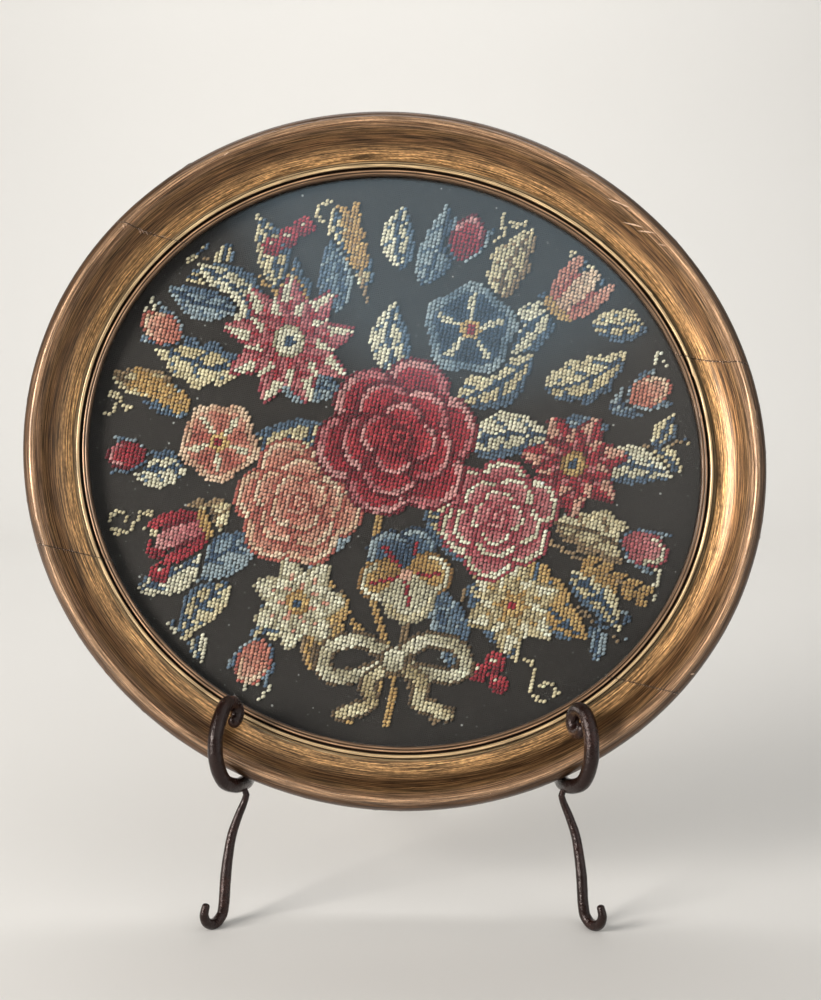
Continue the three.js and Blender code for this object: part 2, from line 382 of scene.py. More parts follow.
def grow(thing, tree, values):
    """Runs a geometry tree on the object and keeps the result as its plain mesh."""
    modifier = thing.modifiers.new("Grow", "NODES")
    modifier.node_group = tree
    for item in tree.interface.items_tree:
        if item.item_type == "SOCKET" and item.in_out == "INPUT" and item.name in values:
            modifier[item.identifier] = values[item.name]
    bpy.context.view_layer.update()
    graph = bpy.context.evaluated_depsgraph_get()
    grown = bpy.data.meshes.new_from_object(thing.evaluated_get(graph), preserve_all_data_layers=True, depsgraph=graph)
    thing.modifiers.remove(modifier)
    old, name = thing.data, thing.data.name
    thing.data = grown
    bpy.data.meshes.remove(old)
    grown.name = name
    if not grown.polygons:
        raise RuntimeError(f"{name}: the geometry tree gave no faces")
    return thing


def place(thing, matrix, nodes=(), sharp=None):
    """Puts the finished mesh in the frame and tells the frame what it is."""
    thing.data.transform(matrix)
    thing.data.update()
    thing.data.shade_smooth()
    if sharp is not None:
        thing.data.set_sharp_from_angle(angle=math.radians(sharp))
    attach(thing, "root")
    if nodes:
        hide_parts(*nodes)
    return thing


# ---- the gilt moulding ----

BACK_POINTS = 7
DENTS = 0.5
END_ZONE = 4.0
JOINT_ABOVE = 87.0
JOINT_BELOW = 88.0
JOINT_TURN = math.radians(2)
SAW_LINE = 0.03


def moulding_profile():
    """The section as (w, n): w outwards from the sight edge, n forwards from the back."""
    p = [(0.0, 9.5), (0.0, 10.6), (0.0, 11.7)]

    def bend(by, to, count):
        u = np.linspace(0, 1, count + 1)[1:, None]
        p.extend((1 - u) ** 2 * np.array(p[-1]) + 2 * u * (1 - u) * np.array(by) + u ** 2 * np.array(to))

    def arc(centre, radius, start, end, count):
        a = np.radians(np.linspace(start, end, count + 1))
        p.extend(np.array(centre) + radius * np.stack([np.cos(a), np.sin(a)], 1))

    bend((0.1, 12.6), (0.8, 12.6), 4)
    bend((1.4, 12.6), (1.55, 12.05), 3)
    bend((1.7, 12.6), (2.3, 12.6), 3)
    bend((3.1, 12.6), (3.2, 11.3), 4)
    p.extend([(3.6, 11.05), (4.0, 11.0)])
    arc((5.15, 13.1), 1.1, 180, 0, 10)
    p.extend([(6.45, 11.6), (6.75, 11.45), (7.2, 11.9)])
    bend((17.5, 13.5), (24.3, 26.4), 22)
    arc((26.0, 26.1), 1.9, 154, 22, 9)
    bend((31.6, 25.5), (32.0, 19.5), 9)
    bend((32.2, 11.5), (31.0, 0.0), 10)
    p.extend([(25.0, 0.0), (18.0, 0.0), (12.0, 0.0), (6.3, 0.0), (6.3, 4.7), (6.3, 9.5), (3.0, 9.5)])
    return np.array(p)


def run_along(points):
    """The distance run at each point of a line."""
    return np.concatenate([[0.0], np.cumsum(np.linalg.norm(np.diff(points, axis=0), axis=1))])


PROFILE = moulding_profile()
ACROSS = run_along(PROFILE)
OUTER = int(np.argmax(PROFILE[:, 0]))
OUTER_W = float(PROFILE[OUTER, 0])
ACROSS_FRONT = float(ACROSS[OUTER])


def across_at(w):
    """How far along the section's front the width w lies, as a share of the front."""
    return float(np.interp(w, np.maximum.accumulate(PROFILE[:OUTER + 1, 0]), ACROSS[:OUTER + 1])) / ACROSS_FRONT


def sight_point(t, w):
    """The point at width w outside the sight oval, at sweep angle t."""
    norm = np.hypot(SIGHT_B * np.cos(t), SIGHT_A * np.sin(t))
    return (SIGHT_A * np.cos(t) + w * SIGHT_B * np.cos(t) / norm,
            SIGHT_B * np.sin(t) + w * SIGHT_A * np.sin(t) / norm)


def saw_angle(level, left):
    """Where the sweep of each point of the section crosses the saw's line at that level."""
    w = PROFILE[:, 0]
    low = np.full_like(w, math.radians(105 if left else -75))
    high = np.full_like(w, math.radians(255 if left else 75))
    for _ in range(50):
        mid = (low + high) / 2
        x, y = sight_point(mid, w)
        over = -x * math.sin(JOINT_TURN) + y * math.cos(JOINT_TURN) > level
        rising = over if not left else ~over
        high = np.where(rising, mid, high)
        low = np.where(rising, low, mid)
    return (low + high) / 2


ARC_T = np.linspace(-math.pi, 3 * math.pi, 2881)
ARC_LENGTH = run_along(np.stack(sight_point(ARC_T, 16.0), 1))


def moulding_tree(inputs):
    """Lays a strip of the section round the oval and wavers it like hand-planed wood."""
    tree, given, result = geometry_tree("Moulding round an oval", inputs)
    t, w = named(tree, "sweep"), named(tree, "section_w")
    a, b = given["Half long axis"], given["Half short axis"]
    cos, sin = reckon("COSINE", t), reckon("SINE", t)
    side_x, side_y = b * cos, a * sin
    reach = w / reckon("SQRT", side_x * side_x + side_y * side_y)
    spot = add(tree, "ShaderNodeCombineXYZ", X=a * cos + reach * side_x, Y=b * sin + reach * side_y,
               Z=named(tree, "section_n"))
    swept = add(tree, "GeometryNodeSetPosition", Geometry=given["Geometry"], Position=spot)
    wave = noise(here(tree), 0.045, 1.5, seed=given["Seed"])
    dent = highest(noise(here(tree), 0.19, 2.0, seed=given["Seed"]) - 0.66, 0.0)
    depth = (wave - 0.5) * given["Unevenness"] - dent * (given["Dents"] * 9.0)
    depth = reckon("MINIMUM", depth, 0.05) * named(tree, "shows")
    finish_tree(result, pushed(tree, swept, depth), given["Finish"])
    return tree


def moulding_strip(name, t0, t1, step):
    """A closed strip of the section with the sweep angle, width and height of every point as attributes."""
    steps = max(8, int(abs(float(t1.mean() - t0.mean())) / step))
    share = np.linspace(0, 1, steps + 1)[:, None]
    t = t0 * (1 - share) + t1 * share
    count = len(PROFILE)
    w, n, across = (np.broadcast_to(k, t.shape) for k in (*PROFILE.T, ACROSS / ACROSS_FRONT))
    x, y = sight_point(t, w)
    along = np.interp(t, ARC_T, ARC_LENGTH)
    ends = np.minimum(along - along[0], along[-1] - along)
    front = (np.arange(count) < count - BACK_POINTS) & (PROFILE[:, 0] > 0.0)
    values = {"sweep": t, "section_w": w, "section_n": n, "along": along * MM, "across": across,
              "shows": front * np.clip(ends / END_ZONE, 0, 1), "to_joint": ends * MM}
    return mesh_object(name, np.stack([x, y, n], 2).reshape(-1, 3), skin(steps + 1, count, 0, False, True),
                       {label: value.ravel() for label, value in values.items()})


JAG = 0.0009
NICKS = (
    # sweep angle and share across at both ends, half width in millimetres, how pale it is
    (153.6, 0.80, 152.4, 0.64, 0.22, 0.1), (152.4, 0.64, 151.5, 0.50, 0.20, 0.3), (149.8, 0.38, 148.0, 0.21, 0.26, 0.2),
    (153.6, 0.77, 154.1, 0.71, 0.30, 0.9), (153.1, 0.76, 153.5, 0.70, 0.26, 0.8), (152.2, 0.59, 152.4, 0.54, 0.28, 0.9),
    (151.8, 0.58, 152.0, 0.52, 0.26, 0.8), (151.4, 0.53, 151.7, 0.48, 0.24, 0.7), (150.2, 0.40, 149.4, 0.35, 0.24, 0.8),
    (66.4, 0.67, 62.6, 0.755, 0.50, 1.0), (62.1, 0.56, 58.9, 0.675, 0.44, 1.0), (59.2, 0.60, 56.6, 0.74, 0.44, 1.0),
    (62.8, 0.71, 62.2, 0.725, 0.40, 0.8), (55.2, 0.66, 53.9, 0.72, 0.32, 0.8), (72.4, 0.74, 70.6, 0.77, 0.34, 0.6),
    (-35.4, 0.48, -33.3, 0.525, 0.26, 0.6), (-33.3, 0.525, -29.8, 0.77, 0.28, 0.7),
    (-22.9, 0.82, -22.4, 0.86, 0.45, 0.7), (-57.9, 0.58, -54.8, 0.625, 0.34, 0.7),
    (-54.8, 0.625, -51.5, 0.79, 0.32, 0.6), (-148.0, 0.62, -147.7, 0.60, 0.36, 0.9),
    (-147.3, 0.57, -147.1, 0.55, 0.34, 0.9), (-146.9, 0.51, -146.7, 0.49, 0.34, 0.8),
    (-148.9, 0.80, -148.2, 0.74, 0.30, 0.4), (-155.6, 0.73, -155.0, 0.76, 0.45, 0.8),
    (133.2, 0.74, 132.2, 0.755, 0.40, 0.7), (20.5, 0.77, 19.4, 0.80, 0.36, 0.6),
)


def nick_group():
    """One thin stroke where the gilt was caught, from places measured in strokes along it and in metres off it."""
    def wire_up(tree, given):
        share = dot(given["Vector"], given["Along"]) - given["Start"]
        left = reckon("SUBTRACT", 1.0, share * share, clamp=True)
        off = reckon("ABSOLUTE", dot(given["Vector"], given["Across"]) - given["Side"])
        return (reckon("MULTIPLY", given["Width"] * left - off, 6000.0, clamp=True),)

    return shader_group("Nick", {"Along": (1.0, 0.0, 0.0), "Across": (0.0, 1.0, 0.0), "Start": 0.0, "Side": 0.0,
                                 "Width": 0.0003}, ("Floor",), wire_up)


def nick(jagged, t0, share0, t1, share1, half, strength):
    """How pale one nick leaves each place of the front."""
    ends = [np.array((np.interp(math.radians(t), ARC_T, ARC_LENGTH), share * ACROSS_FRONT)) * MM + JAG / 2
            for t, share in ((t0, share0), (t1, share1))]
    middle, run = (ends[0] + ends[1]) / 2, ends[1] - ends[0]
    length = np.linalg.norm(run)
    reach = float(length) / 2 * 1.15
    along = run / length
    off = np.array((-along[1], along[0]))
    return add(jagged.socket.id_data, "ShaderNodeGroup", {"node_tree": nick_group()}, Vector=jagged,
               Along=(*(along / reach), 0.0), Across=(*off, 0.0), Start=float(middle @ along) / reach,
               Side=float(middle @ off), Width=half * MM) * strength


def gilt_material():
    """Bronze gold with brushed streaks, an umber glaze in the hollow, nicks, and worn joints and edges; painted
    highlights on the reeds, bead and lip, painted shade in the grooves and on the outer wall, and painted glints in the
    cove.
    """
    given = settings("frame")
    gold, umber, crest = (np.array(colour) for colour in (given.gold, given.umber, given.crest))
    # The dark colour paints the shade in the grooves, the bright gold paints the highlight on the bead and its lip, and
    # the bare colour is worn-through gilt.
    dark, gold_with_painted_highlight, bare = umber * 0.4, np.array((0.80, 0.57, 0.31)), (0.86, 0.60, 0.42)
    material, tree, shader = new_material("Rubbed gilt")
    across = attribute(tree, "across")
    flat = add(tree, "ShaderNodeCombineXYZ", X=attribute(tree, "along"), Y=across * (ACROSS_FRONT * MM))

    def streaks(scale, stretch, detail):
        drawn = add(tree, "ShaderNodeMapping", Vector=flat, Scale=(scale / stretch, scale, scale))
        return noise(drawn, 1.0, detail, 0.6)

    def over(*stops):
        return ramp(across, *((across_at(w), value) for w, value in stops))

    broad, fine = streaks(620.0, 22.0, 3.0), streaks(1450.0, 36.0, 1.5)
    hair, dash = streaks(2900.0, 60.0, 1.0), streaks(1700.0, 5.0, 1.0)
    shift = (noise(body_place(tree), 9.0) - 0.5) * 0.05 + (broad - 0.5) * 0.10
    # Colours across the section, outwards from the sight edge. The bright lines at 0.7 and 2.4 on the reeds, and the
    # bright bead and gold lip from 4.4 to 7.25, are painted highlights over the gold.
    bands = (
        # The dark between the reeds, in the grooves either side of the bead and at 7.6 before the cove is painted
        # shade, and so is the outer wall darkening to near black.
        (0.7, crest * 1.6), (1.05, crest * 0.35), (1.55, umber * 0.5), (2.05, crest * 0.3), (2.4, crest * 1.6),
        (2.75, crest * 0.3), (3.25, dark), (4.05, dark), (4.4, gold_with_painted_highlight), (5.3, gold_with_painted_highlight), (5.8, dark), (6.55, dark),
        (6.85, gold_with_painted_highlight), (7.25, gold_with_painted_highlight * 0.9), (7.6, gold * 0.25), (8.1, gold * 0.95), (10.5, gold * 0.98),
        (13.0, gold * 0.86), (15.0, gold * 0.50 + umber * 0.25), (17.3, umber * 1.2 + gold * 0.16),
        (19.8, umber * 1.2 + gold * 0.20), (21.8, gold * 0.42), (23.8, crest * 0.62), (25.8, crest * 0.95),
        (27.2, crest * 0.50), (28.8, umber * 1.2 + crest * 0.06), (OUTER_W, umber * 0.6))
    colour = ramp(across + shift * over((7.2, 0.0), (8.6, 1.0)), (0.0, umber), (across_at(0.05) + 0.02, crest * 0.3),
                  *((across_at(w), shade) for w, shade in bands))
    tone = ramp(fine * 1.25 + broad * 0.4, (0.64, 0.25), (0.76, 0.66), (0.84, 1.08), (0.93, 1.35), (1.0, 1.75))
    colour = blend(over((6.8, 0.15), (8.6, 0.9), (24.0, 0.85), (26.0, 0.5)), colour, tone, "MULTIPLY")
    colour = blend(0.8, colour, ramp(hair, (0.40, 0.40), (0.51, 1.0), (0.60, 1.45)), "MULTIPLY")
    # Painted glints: short bright dashes over the inner cove that stand in for the sparkle of the rubbed gilt.
    painted_glint = over((7.6, 0.0), (9.0, 0.75), (13.5, 0.55), (17.0, 0.15), (24.0, 0.25))
    colour = blend(painted_glint, colour, ramp(dash, (0.36, 0.45), (0.5, 0.95), (0.6, 1.35), (0.68, 1.8)), "MULTIPLY")

    crumbs = noise(flat, 1500.0, 2.0, 0.6)
    jag = crumbs * JAG
    jagged = add(tree, "ShaderNodeVectorMath", {"operation": "ADD"}, _0=flat, _1=jag)
    marks = highest(*(nick(jagged, *row) for row in NICKS))
    to_joint = attribute(tree, "to_joint")
    joint = reckon("SUBTRACT", 1.0, to_joint / 0.0028, clamp=True)
    open_line = reckon("MULTIPLY", jag - to_joint, 5000.0, clamp=True)
    worn = crumbs + highest(joint, over((23.5, 0.0), (25.8, 0.5), (29.0, 0.0))) * 0.16
    deep = highest(open_line, ramp(worn, (0.70, 0.0), (0.73, 0.9), (0.75, 0.9), (0.76, 0.0)))
    pale = highest(marks, ramp(worn, (0.755, 0.0), (0.775, 0.9)))
    colour = blend(deep * 0.85, colour, umber * 0.3)
    colour = blend(pale, colour, bare)
    colour = blend(specks(flat, 420.0, 0.10, 0.22) * 0.7, colour, umber * 0.5)
    metal = over((0.0, 0.3), (3.2, 0.3), (5.0, 0.45), (7.6, 0.55), (14.0, 0.7), (18.0, 0.85), (21.5, 0.6), (24.0, 0.42),
                 (27.0, 0.5), (OUTER_W, 0.4))
    put(shader, Base_Color=colour, Metallic=metal * reckon("SUBTRACT", 1.0, pale),
        Roughness=fine * 0.30 + 0.24 + pale * 0.3, Coat_Weight=0.35, Coat_Roughness=0.22)
    bump(shader, fine * 0.6 + hair * 0.3 - highest(pale, deep) * 0.9, 0.6, 0.0003)
    return material


class WOOLWORK_OT_frame(bpy.types.Operator):
    """Sweeps the four lengths of gilt moulding round the oval"""
    bl_idname = "woolwork.frame"
    bl_label = "Gilt frame"

    def execute(self, context):
        given = settings("frame")
        values = {"Half long axis": SIGHT_A, "Half short axis": SIGHT_B, "Unevenness": given.wave, "Dents": DENTS,
                  "Seed": 3.0, "Finish": gilt_material()}
        tree = moulding_tree(values)
        above, below, half = JOINT_ABOVE, -JOINT_BELOW, SAW_LINE / 2
        lengths = {
            "frame_right": (saw_angle(below + half, False), saw_angle(above - half, False)),
            "frame_top": (saw_angle(above + half, False), saw_angle(above + half, True)),
            "frame_left": (saw_angle(above - half, True), saw_angle(below + half, True)),
            "frame_bottom": (saw_angle(below - half, True), saw_angle(below - half, False) + TURN),
        }
        for node, (start, end) in lengths.items():
            strip = moulding_strip(f"gilt_{node}", start, end, given.step)
            grow(strip, tree, values)
            place(strip, panel_matrix(True), [node], 38)
        return {"FINISHED"}


# ---- glass, ground and board ----

CLOTH_N = 4.35
CLOTH_THICK = 1.5
CLOTH_W = 5.8
CLOTH_RIPPLE = 0.25
CLOTH_RINGS, CLOTH_SPOKES = 56, 180


def glass_material():
    """Glass that lets shadow and bounced light through plainly, so the needlework behind it stays lit."""
    material, tree, shader = new_material("Picture glass")
    put(shader, Base_Color=(0.96, 0.98, 0.98, 1), Roughness=0.03, IOR=1.5, Transmission_Weight=1.0)
    clear = add(tree, "ShaderNodeBsdfTransparent", _0=(0.94, 0.95, 0.95, 1))
    path = add(tree, "ShaderNodeLightPath", output="Is Shadow Ray")
    passing = highest(path, path.also("Is Diffuse Ray"))
    mix = add(tree, "ShaderNodeMixShader", _0=passing, _1=Wire(shader.outputs[0]), _2=clear)
    put(tree.nodes["Material Output"], Surface=mix)
    return material


def dress_node(name, material):
    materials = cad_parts[name].data.materials
    materials.clear()
    materials.append(material)


class WOOLWORK_OT_glass(bpy.types.Operator):
    """Gives the flat pane its glass"""
    bl_idname = "woolwork.glass"
    bl_label = "Glass"

    def execute(self, context):
        dress_node("glass", glass_material())
        return {"FINISHED"}


def ripple(x, y):
    """The soft waves of the stretched cloth."""
    return CLOTH_RIPPLE * (np.sin(x / 31 + y / 47) + np.sin(x / 53 - y / 29 + 1.3) + 0.6 * np.sin((x + y) / 19)) / 2.6


def ground_material():
    base = np.array(settings("wool").ground)
    material, tree, shader = new_material("Dark ground cloth")
    flat = add(tree, "ShaderNodeCombineXYZ", X=attribute(tree, "warp"), Y=attribute(tree, "weft"))
    grain = fibres(flat, 1500.0)
    weave = highest(*(add(tree, "ShaderNodeTexWave", {"bands_direction": axis}, 1, Vector=flat, Scale=300.0,
                          Distortion=1.6, Detail=2.0, Detail_Scale=2.0) for axis in "XY"))
    colour = blend(grain, base * 0.6, base * 1.7)
    colour = blend(noise(flat, 26.0, 3.0) * 0.45, colour, base * 2.4 + 0.006)
    lint = highest(specks(flat, 520.0, 0.20, 0.14) * 0.28, specks(flat, 190.0, 0.11, 0.22) * 0.9)
    colour = blend(lint, colour, (0.42, 0.42, 0.40))
    put(shader, Base_Color=colour, Roughness=0.92, Sheen_Weight=0.12, Sheen_Roughness=0.5)
    bump(shader, weave * 0.6 + grain, 0.7, 0.0003)
    return material


class WOOLWORK_OT_ground(bpy.types.Operator):
    """Lays the stretched ground cloth with its soft waves"""
    bl_idname = "woolwork.ground"
    bl_label = "Ground cloth"

    def execute(self, context):
        rings, spokes = CLOTH_RINGS, CLOTH_SPOKES
        rim = sight_point(np.arange(spokes) * TURN / spokes, CLOTH_W)
        share = (np.arange(1, rings + 1) / rings)[:, None]
        x, y = (np.concatenate([[0.0], (share * k).ravel()]) for k in rim)
        edge = np.clip((1 - np.concatenate([[0.0], np.repeat(share.ravel(), spokes)])) * 12, 0, 1)
        crease = 0.10 * np.sin((0.8 * x + 0.6 * y) / 6.5 + 1.7 * np.sin(x / 40)) * edge
        crease = crease * np.clip(np.sin(x / 37 - y / 53), 0, 1)
        n = CLOTH_N + ripple(x, y) + crease
        points = np.concatenate([np.stack([x, y, n + side * CLOTH_THICK / 2], 1) for side in (1, -1)])
        count = len(x)
        top = [(0, 1 + s, 1 + (s + 1) % spokes) for s in range(spokes)] + skin(rings, spokes, 1, False)
        back = [tuple(count + k for k in reversed(face)) for face in top]
        last = count - spokes
        pairs = [(last + s, last + (s + 1) % spokes) for s in range(spokes)]
        rim = [(a, count + a, count + b, b) for a, b in pairs]
        warp, weft = (np.tile(k, 2) * MM for k in turned(x, y, ROLL - settings("wool").grid_turn))
        cloth = mesh_object("ground_cloth", points, top + back + rim, {"warp": warp, "weft": weft})
        cloth.data.materials.append(ground_material())
        place(cloth, panel_matrix(True), ["woolwork_cloth"], 50)
        return {"FINISHED"}


def board_material():
    material, tree, shader = new_material("Brown backing board")
    body = body_place(tree)
    grain = fibres(body, 700.0, (1.0, 1.0, 0.35))
    colour = blend(grain.also("Mottle"), (0.16, 0.10, 0.055), (0.33, 0.23, 0.13))
    colour = blend(ramp(grain, (0.45, 0.0), (0.8, 0.6)), colour, (0.45, 0.34, 0.22))
    colour = blend(ramp(noise(body, 14.0, 4.0), (0.5, 0.0), (0.68, 0.55)), colour, (0.09, 0.055, 0.03))
    put(shader, Base_Color=colour, Roughness=0.86)
    bump(shader, grain, 0.35, 0.0002)
    return material


class WOOLWORK_OT_board(bpy.types.Operator):
    """Finishes the plain brown board behind the needlework"""
    bl_idname = "woolwork.board"
    bl_label = "Back board"

    def execute(self, context):
        dress_node("back_board", board_material())
        return {"FINISHED"}


# ---- the stitched design ----

# Yarns by name: the stitch object they go to, and linear colours from dark to light.
YARNS = {
    "cream": ("pale", [(0.34, 0.26, 0.135), (0.56, 0.46, 0.27), (0.76, 0.68, 0.46)]),
    "ivory": ("pale", [(0.38, 0.33, 0.215), (0.62, 0.57, 0.41), (0.82, 0.77, 0.60)]),
    "blue": ("blue", [(0.018, 0.034, 0.062), (0.045, 0.080, 0.135), (0.12, 0.175, 0.24)]),
    "sky": ("blue", [(0.10, 0.145, 0.19), (0.20, 0.265, 0.315), (0.37, 0.43, 0.45)]),
    "crimson": ("red", [(0.14, 0.006, 0.014), (0.34, 0.020, 0.034), (0.52, 0.065, 0.075)]),
    "rose": ("red", [(0.30, 0.045, 0.060), (0.48, 0.14, 0.15), (0.66, 0.33, 0.31)]),
    "coral": ("coral", [(0.38, 0.10, 0.075), (0.56, 0.235, 0.165), (0.70, 0.43, 0.32)]),
    "peach": ("coral", [(0.50, 0.27, 0.18), (0.65, 0.43, 0.29), (0.77, 0.59, 0.43)]),
    "ochre": ("tan", [(0.25, 0.13, 0.040), (0.44, 0.26, 0.09), (0.60, 0.41, 0.17)]),
    "bark": ("tan", [(0.095, 0.058, 0.028), (0.20, 0.13, 0.066), (0.34, 0.23, 0.125)]),
}
YARN_NAMES = list(YARNS)
DESIGN_SCALE = 1.02


class Chart:
    """The canvas: one cell for each crossing, holding a yarn and its shade, or bare."""

    def __init__(self, x, y):
        self.x, self.y = x, y
        self.yarn = np.full(x.shape, -1)
        self.shade = np.zeros(x.shape)

    def local(self, cx, cy, turn=0.0):
        return turned(self.x - cx, self.y - cy, -math.radians(turn))

    def work(self, mask, yarn, shade):
        self.yarn[mask] = YARN_NAMES.index(yarn)
        self.shade[mask] = np.broadcast_to(shade, mask.shape)[mask]

    def clear(self, mask):
        self.yarn[mask] = -1


def leaf(chart, x, y, turn, size, light="cream", dark="blue", bend=0.0, fat=0.2, teeth=0):
    """A pointed leaf from its stalk: one pale half, one shaded half, and veins in a darker yarn."""
    u, v = chart.local(x, y, turn)
    s = u / size
    t = np.clip(s, 0, 1)
    v = v - bend * size * np.sin(math.pi * t * 0.9)
    half = fat * size * np.sin(math.pi * t ** 0.8) ** 0.9
    if teeth:
        half = half * (0.78 + 0.30 * np.abs(np.sin(teeth * math.pi * t)) ** 0.7)
    off = np.abs(v)
    mask = (s > 0) & (s < 1) & (off < half)
    chart.clear((s > -0.04) & (s < 1.05) & (off < half + 1.7))
    edge = off / np.maximum(half, 0.1)
    upper = v > 0
    chart.work(mask, light, np.where(upper, 1.9 - 0.5 * edge, 1.35 - 0.6 * edge))
    chart.work(mask & ~upper & (edge > 0.62), dark, 1.6)
    if size > 24:
        vein = ((s * size + off * 0.9) % (size / 4.0)) < 1.7
        chart.work(mask & vein & (edge < 0.8) & (s > 0.12) & (s < 0.8), dark, np.where(upper, 1.5, 0.7))
    chart.work(mask & (off < 1.05) & (s < 0.9), dark, 0.7)


def spray(chart, x, y, turn, size, pairs, light, dark, bend=0.12):
    """A stalk with leaflets set in pairs and one at its tip."""
    shares = [(k + 0.7) / (pairs + 0.7) for k in range(pairs + 1)]
    spots = []
    for s in shares:
        dx, dy = turned(size * s, bend * size * s * s, math.radians(turn))
        spots.append((x + dx, y + dy))
    path(chart, [(x, y)] + spots, 1.1, "bark", 1.5)
    small = size / (pairs + 0.2) * 0.95
    for spot, s in zip(spots[:-1], shares):
        for side in (-1, 1):
            leaf(chart, *spot, turn + math.degrees(2 * bend * s) + side * 52, small * (1.05 - 0.25 * s), light, dark,
                 -0.05 * side, 0.27)
    leaf(chart, *spots[-1], turn + math.copysign(12, bend), small * 1.05, light, dark, 0.0, 0.27)


def petal(chart, x, y, turn, start, size, width, main, light, root=0.2, lip=1.9, vein=None):
    """One rounded petal reaching from start to size, dark at its root and pale at its lip."""
    u, v = chart.local(x, y, turn)
    middle, reach = (start + size) / 2, (size - start) / 2
    ring = ((u - middle) / reach) ** 2 + (v / width) ** 2
    chart.work((ring < (1 + 1.5 / reach) ** 2) & (u > middle - reach * 0.5), main, -0.4)
    mask = ring < 1
    share = np.clip((u - start) / (size - start), 0, 1)
    chart.work(mask, main, root + (lip - root) * share ** 1.2 - 0.25 * (v / width) ** 2 * np.sign(-v))
    chart.work(mask & (ring > 0.56) & (share > 0.55), light, 1.0 + 0.9 * (v > -0.2 * width))
    if vein:
        chart.work(mask & (np.abs(v) < 0.9) & (share < 0.75), vein, 0.8)


def rose(chart, x, y, turn, size, main, light):
    """A full cabbage rose: three rings of lapped petals and a tight heart."""
    rings = (6, 0.30, 1.0, 0.40), (5, 0.14, 0.72, 0.34), (4, 0.02, 0.46, 0.24)
    for ring, (count, start, reach, width) in enumerate(rings):
        for k in range(count):
            wave = 1 + 0.05 * math.sin(3.1 * k + turn)
            petal(chart, x, y, turn + ring * 34 + k * 360 / count, start * size, reach * size * wave, width * size,
                  main, light, 0.0, 1.5 + 0.25 * ring)
    u, v = chart.local(x, y, turn)
    share = np.hypot(u, v) / (0.22 * size)
    curl = (share * 1.6 + np.arctan2(v, u) / TURN) % 1.0
    chart.work(share < 1, main, np.where(curl > 0.5, 1.5, -0.3))


def star_flower(chart, x, y, turn, size, count, main, light, throat, heart="ochre", eye="blue", width=0.2):
    """An open flower of narrow pointed petals in two rings round a button of knots."""
    for ring in range(2):
        reach = size * (1.0 - 0.30 * ring)
        for k in range(count):
            u, v = chart.local(x, y, turn + (k + 0.5 * ring) * 360 / count)
            s = np.clip(u / reach, 0, 1)
            half = width * reach * np.sin(math.pi * np.clip(s * 0.94 + 0.04, 0, 1) ** 0.85) + 0.3
            chart.work((s > 0.1) & (s < 1) & (np.abs(v) < half + 1.4), main, -0.5)
            mask = (s > 0) & (s < 1) & (np.abs(v) < half)
            chart.work(mask, main, 0.3 + 1.1 * s + 0.3 * (v > 0))
            chart.work(mask & (s > 0.62) & (v > -0.5), light, 0.9 + s)
            chart.work(mask & (np.abs(v) < 1.1) & (s < 0.62), throat, 0.8 + 0.9 * s)
    r = np.hypot(*chart.local(x, y))
    for share, yarn, shade in ((0.25, heart, 0.3), (0.20, heart, 1.9), (0.09, eye, 0.8)):
        chart.work(r < share * size, yarn, shade)


def bell_flower(chart, x, y, turn, size, main, light, star="ivory", heart="ochre"):
    """A round trumpet seen from the front, with a pale star in its throat."""
    u, v = chart.local(x, y, turn)
    r, a = np.hypot(u, v), np.arctan2(v, u)
    rim = size * (0.93 + 0.07 * np.cos(5 * a))
    chart.clear(r < rim + 1.8)
    chart.work(r < rim, main, 0.5 + 0.5 * np.cos(5 * a) + 0.6 * (v > 0) * r / size)
    chart.work((r < rim) & (r > 0.80 * rim), light, 1.0 + 0.8 * np.cos(5 * a + 0.4))
    ray = (np.abs(((a / TURN * 5 + 0.5) % 1.0) - 0.5) < 0.13 * (1.35 - r / size)) & (r < 0.74 * size)
    chart.work(ray, star, 1.8 - r / size)
    chart.work(r < 0.22 * size, heart, 1.9)
    chart.work(r < 0.10 * size, "crimson", 0.8)


def pansy(chart, x, y, turn, size):
    """Five soft petals: two dark ones above, three pale ones with whiskers below."""
    for angle, reach, width, main, light in ((62, 1.0, 0.44, "blue", "sky"), (118, 1.0, 0.44, "blue", "sky"),
                                             (-6, 0.95, 0.40, "ochre", "ivory"), (186, 0.95, 0.40, "ochre", "ivory"),
                                             (270, 0.95, 0.50, "ivory", "cream")):
        petal(chart, x, y, turn + angle, 0.0, reach * size, width * size, main, light, 0.3, 1.9, "crimson")
    chart.work(np.hypot(*chart.local(x, y, turn)) < 0.14 * size, "coral", 1.8)


def cup_flower(chart, x, y, turn, size, main, light):
    """A tulip-like cup of three pointed petals from the side."""
    u, v = chart.local(x, y, turn)
    s = np.clip(u / size, 0, 1)
    half = 0.42 * size * np.sin(math.pi * (0.10 + 0.60 * s)) ** 0.75
    third = v / np.maximum(half, 0.1)
    tips = size * (0.74 + 0.26 * np.abs(np.cos(third * math.pi * 1.12)))
    chart.clear((u > -2) & (u < tips + 1.6) & (np.abs(v) < half + 1.6))
    mask = (u > 0) & (u < tips) & (np.abs(v) < half)
    chart.work(mask, main, 0.3 + 1.3 * s)
    chart.work(mask & (np.abs(third) < 0.42), light, 0.5 + 1.4 * s)
    chart.work(mask & (np.abs(np.abs(third) - 0.46) < 0.10), main, -0.3)
    chart.work(mask & (s < 0.16), "ochre", 1.3)


def bud(chart, x, y, turn, size, main, light):
    """A closed bud in its calyx."""
    for side in (1, -1):
        leaf(chart, x, y, turn + side * 24, size * 1.05, "blue", "sky", 0.05 * side, 0.13)
    petal(chart, x, y, turn, 0.08 * size, size, 0.30 * size, main, light, 0.3, 1.9)


